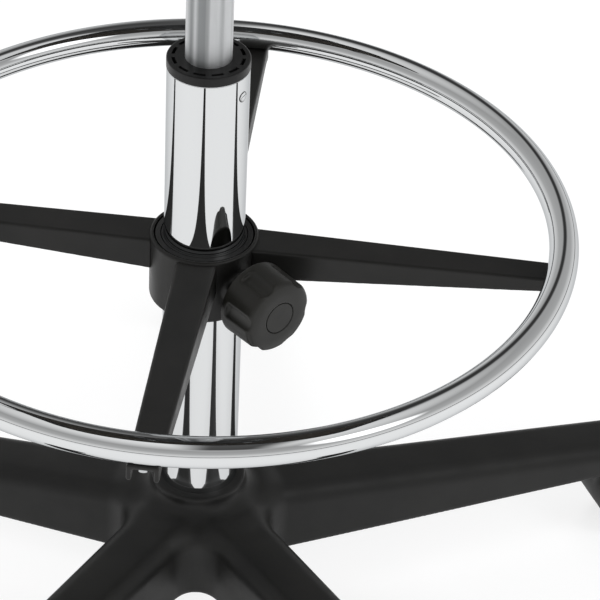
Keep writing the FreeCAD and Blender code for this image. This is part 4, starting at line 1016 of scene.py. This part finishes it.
seat_pad = piece("seat_cushion_cover", seat_mesh, "seat", cloth_black, ["seat_cushion"], 60.0)
seat_pipe = pipe("seat_piping", seam, PIPE_R)
seat_pipe.transform(Matrix.Translation(seat_mid))
piece("seat_piping", seat_pipe, "seat", cloth_black, (), None)

staples = bmesh.new()
for i in range(0, len(ends), 6):
    place, out = ends[i]
    spot = place - out * 0.033
    turn = math.atan2(out.y, out.x) + 0.25 * math.sin(i * 1.7)
    at = Matrix.Translation((seat_mid.x + spot.x, seat_mid.y + spot.y, board_low.z - 0.0013))
    wire = bmesh.ops.create_cube(staples, size=1.0)["verts"]
    shape = Matrix.Diagonal((0.0012, 0.0100, 0.0007, 1.0))
    bmesh.ops.transform(staples, matrix=at @ Matrix.Rotation(turn, 4, "Z") @ shape, verts=wire)
bmesh.ops.bevel(staples, geom=staples.edges[:], offset=0.0002, segments=1, affect="EDGES")
piece("cover_staples", freed(staples, bpy.data.meshes.new("cover_staples")), "seat", zinc)

# ---- back bar ----------------------------------------------------------------------------
# A flat steel bar, 50 by 8 mm, bent once, black powder coated. It slides in the housing's sleeve,
# and a knob below clamps it.
softened("back_bar", powder, 0.0010)
small_low, small_high = (-0.021, -0.021, -0.001), (0.021, 0.021, 0.022)
SMALL_KNOB_STEP = 0.0006
field = knob_field(small_low, small_high, SMALL_KNOB_STEP, 0.0190, 0.0200, 0.0060, 0.0020, 0.0030, 0.0)
small_mesh = skin("small_knob", field, small_low, SMALL_KNOB_STEP)


def small_knob(name, part, body, stand):
    """A fluted knob, with its CAD stud's foot in the hole that it clamps."""
    mesh = small_mesh.copy()
    mesh.transform(stand)
    piece(name, mesh, body, phenolic, [part], 60.0)


def stud(name, body, stand, length):
    run = outline([(0.0, 0.0, 0), (0.0048, 0.0, 0.0008), (0.0048, length, 0), (0.0, length, 0)])
    mesh = lathe(name, run, 40)
    mesh.transform(stand)
    piece(name, mesh, body, zinc)


knob_low, knob_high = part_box("bar_knob")
knob_x, knob_y = (knob_low.x + knob_high.x) / 2, (knob_low.y + knob_high.y) / 2
downward = Matrix.Translation((knob_x, knob_y, knob_low.z + 0.020)) @ Matrix.Rotation(math.pi, 4, "X")
small_knob("bar_knob_moulding", "bar_knob", "bar_knob", downward)
stud("bar_knob_stud", "bar_knob", Matrix.Translation((knob_x, knob_y, knob_low.z + 0.018)),
     knob_high.z - knob_low.z - 0.018)

# ---- back carrier ------------------------------------------------------------------------
# A black moulded bracket screwed to the back shell. It slides on the upright of the bar, and the
# knob behind it holds it at its height.
carrier_low, carrier_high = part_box("back_carrier")
bar_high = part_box("back_bar")[1]
CARRIER_STEP = 0.0010


def carrier_field(low, high, step):
    x, y, z = grid(low, high, step)
    mid, half = (carrier_low + carrier_high) / 2, (carrier_high - carrier_low) / 2
    plan = round_meet(np.abs(x - mid.x) - half.x, np.abs(y - mid.y) - half.y, 0.0045)
    body = round_meet(plan, np.abs(z - mid.z) - half.z, 0.0020)
    line = np.abs(np.abs(x - mid.x) - 0.0305) - 0.0012
    slots = np.maximum(np.maximum(line, np.abs(z - mid.z) - 0.034), mid.y + half.y - 0.0015 - y)
    body = np.maximum(body, -slots)
    bar = np.maximum(np.abs(x - mid.x) - 0.02505, np.abs(y - bar_high.y + 0.004) - 0.00405)
    hole = np.maximum(np.hypot(x - mid.x, z - mid.z) - 0.00505, mid.y - y)
    return np.maximum(body, -np.minimum(bar, hole))


low, high = tuple(carrier_low - Vector((0.003,) * 3)), tuple(carrier_high + Vector((0.003,) * 3))
carrier_mesh = skin("back_carrier_moulding", carrier_field(low, high, CARRIER_STEP), low, CARRIER_STEP)
shell_nylon = moulded("grained_shell_plastic", (0.0080, 0.0080, 0.0080), (0.0120, 0.0120, 0.0115), 0.42, 0.54,
                      1500.0, 0.00010)
piece("back_carrier_moulding", carrier_mesh, "back", shell_nylon, ["back_carrier"], 50.0)
knob_low, knob_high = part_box("carrier_knob")
knob_x, knob_z = (knob_low.x + knob_high.x) / 2, (knob_low.z + knob_high.z) / 2
rearward = Matrix.Translation((knob_x, knob_high.y - 0.020, knob_z)) @ Matrix.Rotation(-math.pi / 2, 4, "X")
small_knob("carrier_knob_moulding", "carrier_knob", "carrier_knob", rearward)
stud("carrier_knob_stud", "carrier_knob",
     Matrix.Translation((knob_x, knob_low.y, knob_z)) @ Matrix.Rotation(-math.pi / 2, 4, "X"),
     knob_high.y - knob_low.y - 0.018)

# ---- back shell --------------------------------------------------------------------------
# A moulded panel behind the foam, with a rolled edge, a shallow sunk field and four screws round
# the carrier.
shell_low, shell_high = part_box("back_shell")
shell_mid, shell_half = (shell_low + shell_high) / 2, (shell_high - shell_low) / 2
SHELL_CORNER = 0.085
SHELL_STEP = 0.0014


def shell_field(low, high, step):
    """The panel lying face down: z = 0 is the side towards the foam."""
    x, y, z = grid(low, high, step)
    thick = 2 * shell_half.y
    edge = plan_distance(x, y, shell_half.x, shell_half.z, SHELL_CORNER)
    body = round_meet(round_meet(edge, z - thick, 0.0055), -z, 0.0010)
    sunk = round_meet(edge + 0.030, thick - 0.0014 - z, 0.0012)
    raised = plan_distance(x, y + 0.095, 0.048, 0.062, 0.014)
    return np.maximum(body, -np.maximum(sunk, -raised))


low = (-shell_half.x - 0.004, -shell_half.z - 0.004, -0.003)
high = (shell_half.x + 0.004, shell_half.z + 0.004, 2 * shell_half.y + 0.003)
shell_mesh = skin("back_shell_moulding", shell_field(low, high, SHELL_STEP), low, SHELL_STEP)
upright = Matrix.Translation((shell_mid.x, shell_low.y, shell_mid.z)) @ Matrix.Rotation(-math.pi / 2, 4, "X")
shell_mesh.transform(upright @ Matrix.Diagonal((1.0, -1.0, 1.0, 1.0)))
shell_mesh.flip_normals()
piece("back_shell_moulding", shell_mesh, "back", shell_nylon, ["back_shell"], 50.0)
screw_run = outline([(0.0, 0.0008, 0), (0.0014, 0.0008, 0), (0.0017, 0.0022, 0), (0.0034, 0.0020, 0.0006),
                     (0.0042, 0.0, 0), (0.0, 0.0, 0)])
for sx in (-1, 1):
    for sz in (-1, 1):
        screw = lathe("shell_screw", screw_run, 40)
        spot = (sx * 0.0425, shell_high.y, (carrier_low.z + carrier_high.z) / 2 + sz * 0.036)
        screw.transform(Matrix.Translation(spot) @ Matrix.Rotation(-math.pi / 2, 4, "X"))
        piece(f"shell_screw_{'left' if sx < 0 else 'right'}_{'low' if sz < 0 else 'high'}", screw, "back",
              zinc)

# ---- back cushion ------------------------------------------------------------------------
# Foam on the shell, in the same cloth, fuller at the small of the back, with a piped seam round
# its front panel.
back_low, back_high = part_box("back_cushion")
back_mid = Vector(((back_low.x + back_high.x) / 2, back_high.y, (back_low.z + back_high.z) / 2))
back_half_x, back_half_z = (back_high.x - back_low.x) / 2, (back_high.z - back_low.z) / 2
back_thick = back_high.y - back_low.y
BACK_CORNER = 0.090


def back_field(low, high, step):
    """The pad lying on its back, head towards +Y."""
    x, y, z = grid(low, high, step)
    edge = plan_distance(x, y, back_half_x - PAD_INSET, back_half_z - PAD_INSET, BACK_CORNER - PAD_INSET)
    top = back_thick - 0.012 - 0.010 * (np.abs(x) / back_half_x) ** 2
    top = top - 0.010 * np.clip(y / back_half_z, 0.0, 1.0) ** 2
    tuck = edge + 0.010 * np.clip(1.0 - z / 0.022, 0.0, 1.0) ** 2
    return round_meet(round_meet(tuck, z - top, 0.022), -z, 0.003)


low = (-back_half_x - PAD_MARGIN, -back_half_z - PAD_MARGIN, -0.010)
high = (back_half_x + PAD_MARGIN, back_half_z + PAD_MARGIN, back_thick + 0.008)
loop = []
for place, out in plan_points(back_half_x, back_half_z, BACK_CORNER, PAD_SPACING):
    drop = 0.010 * (abs(place.x) / back_half_x) ** 2 + 0.010 * max(place.y / back_half_z, 0.0) ** 2
    loop.append(Vector((*(place - out * SEAM_INSET), back_thick - 0.020 - drop)))
back_mesh, seam = cushion("back_cushion_cover", back_field(low, high, PAD_STEP), low, loop)
stood = Matrix.Translation(back_mid) @ Matrix.Rotation(math.pi / 2, 4, "X")
back_mesh.transform(stood)
back_pad = piece("back_cushion_cover", back_mesh, "back", cloth_black, ["back_cushion"], 60.0)
back_pipe = pipe("back_piping", seam, PIPE_R)
back_pipe.transform(stood)
piece("back_piping", back_pipe, "back", cloth_black, (), None)
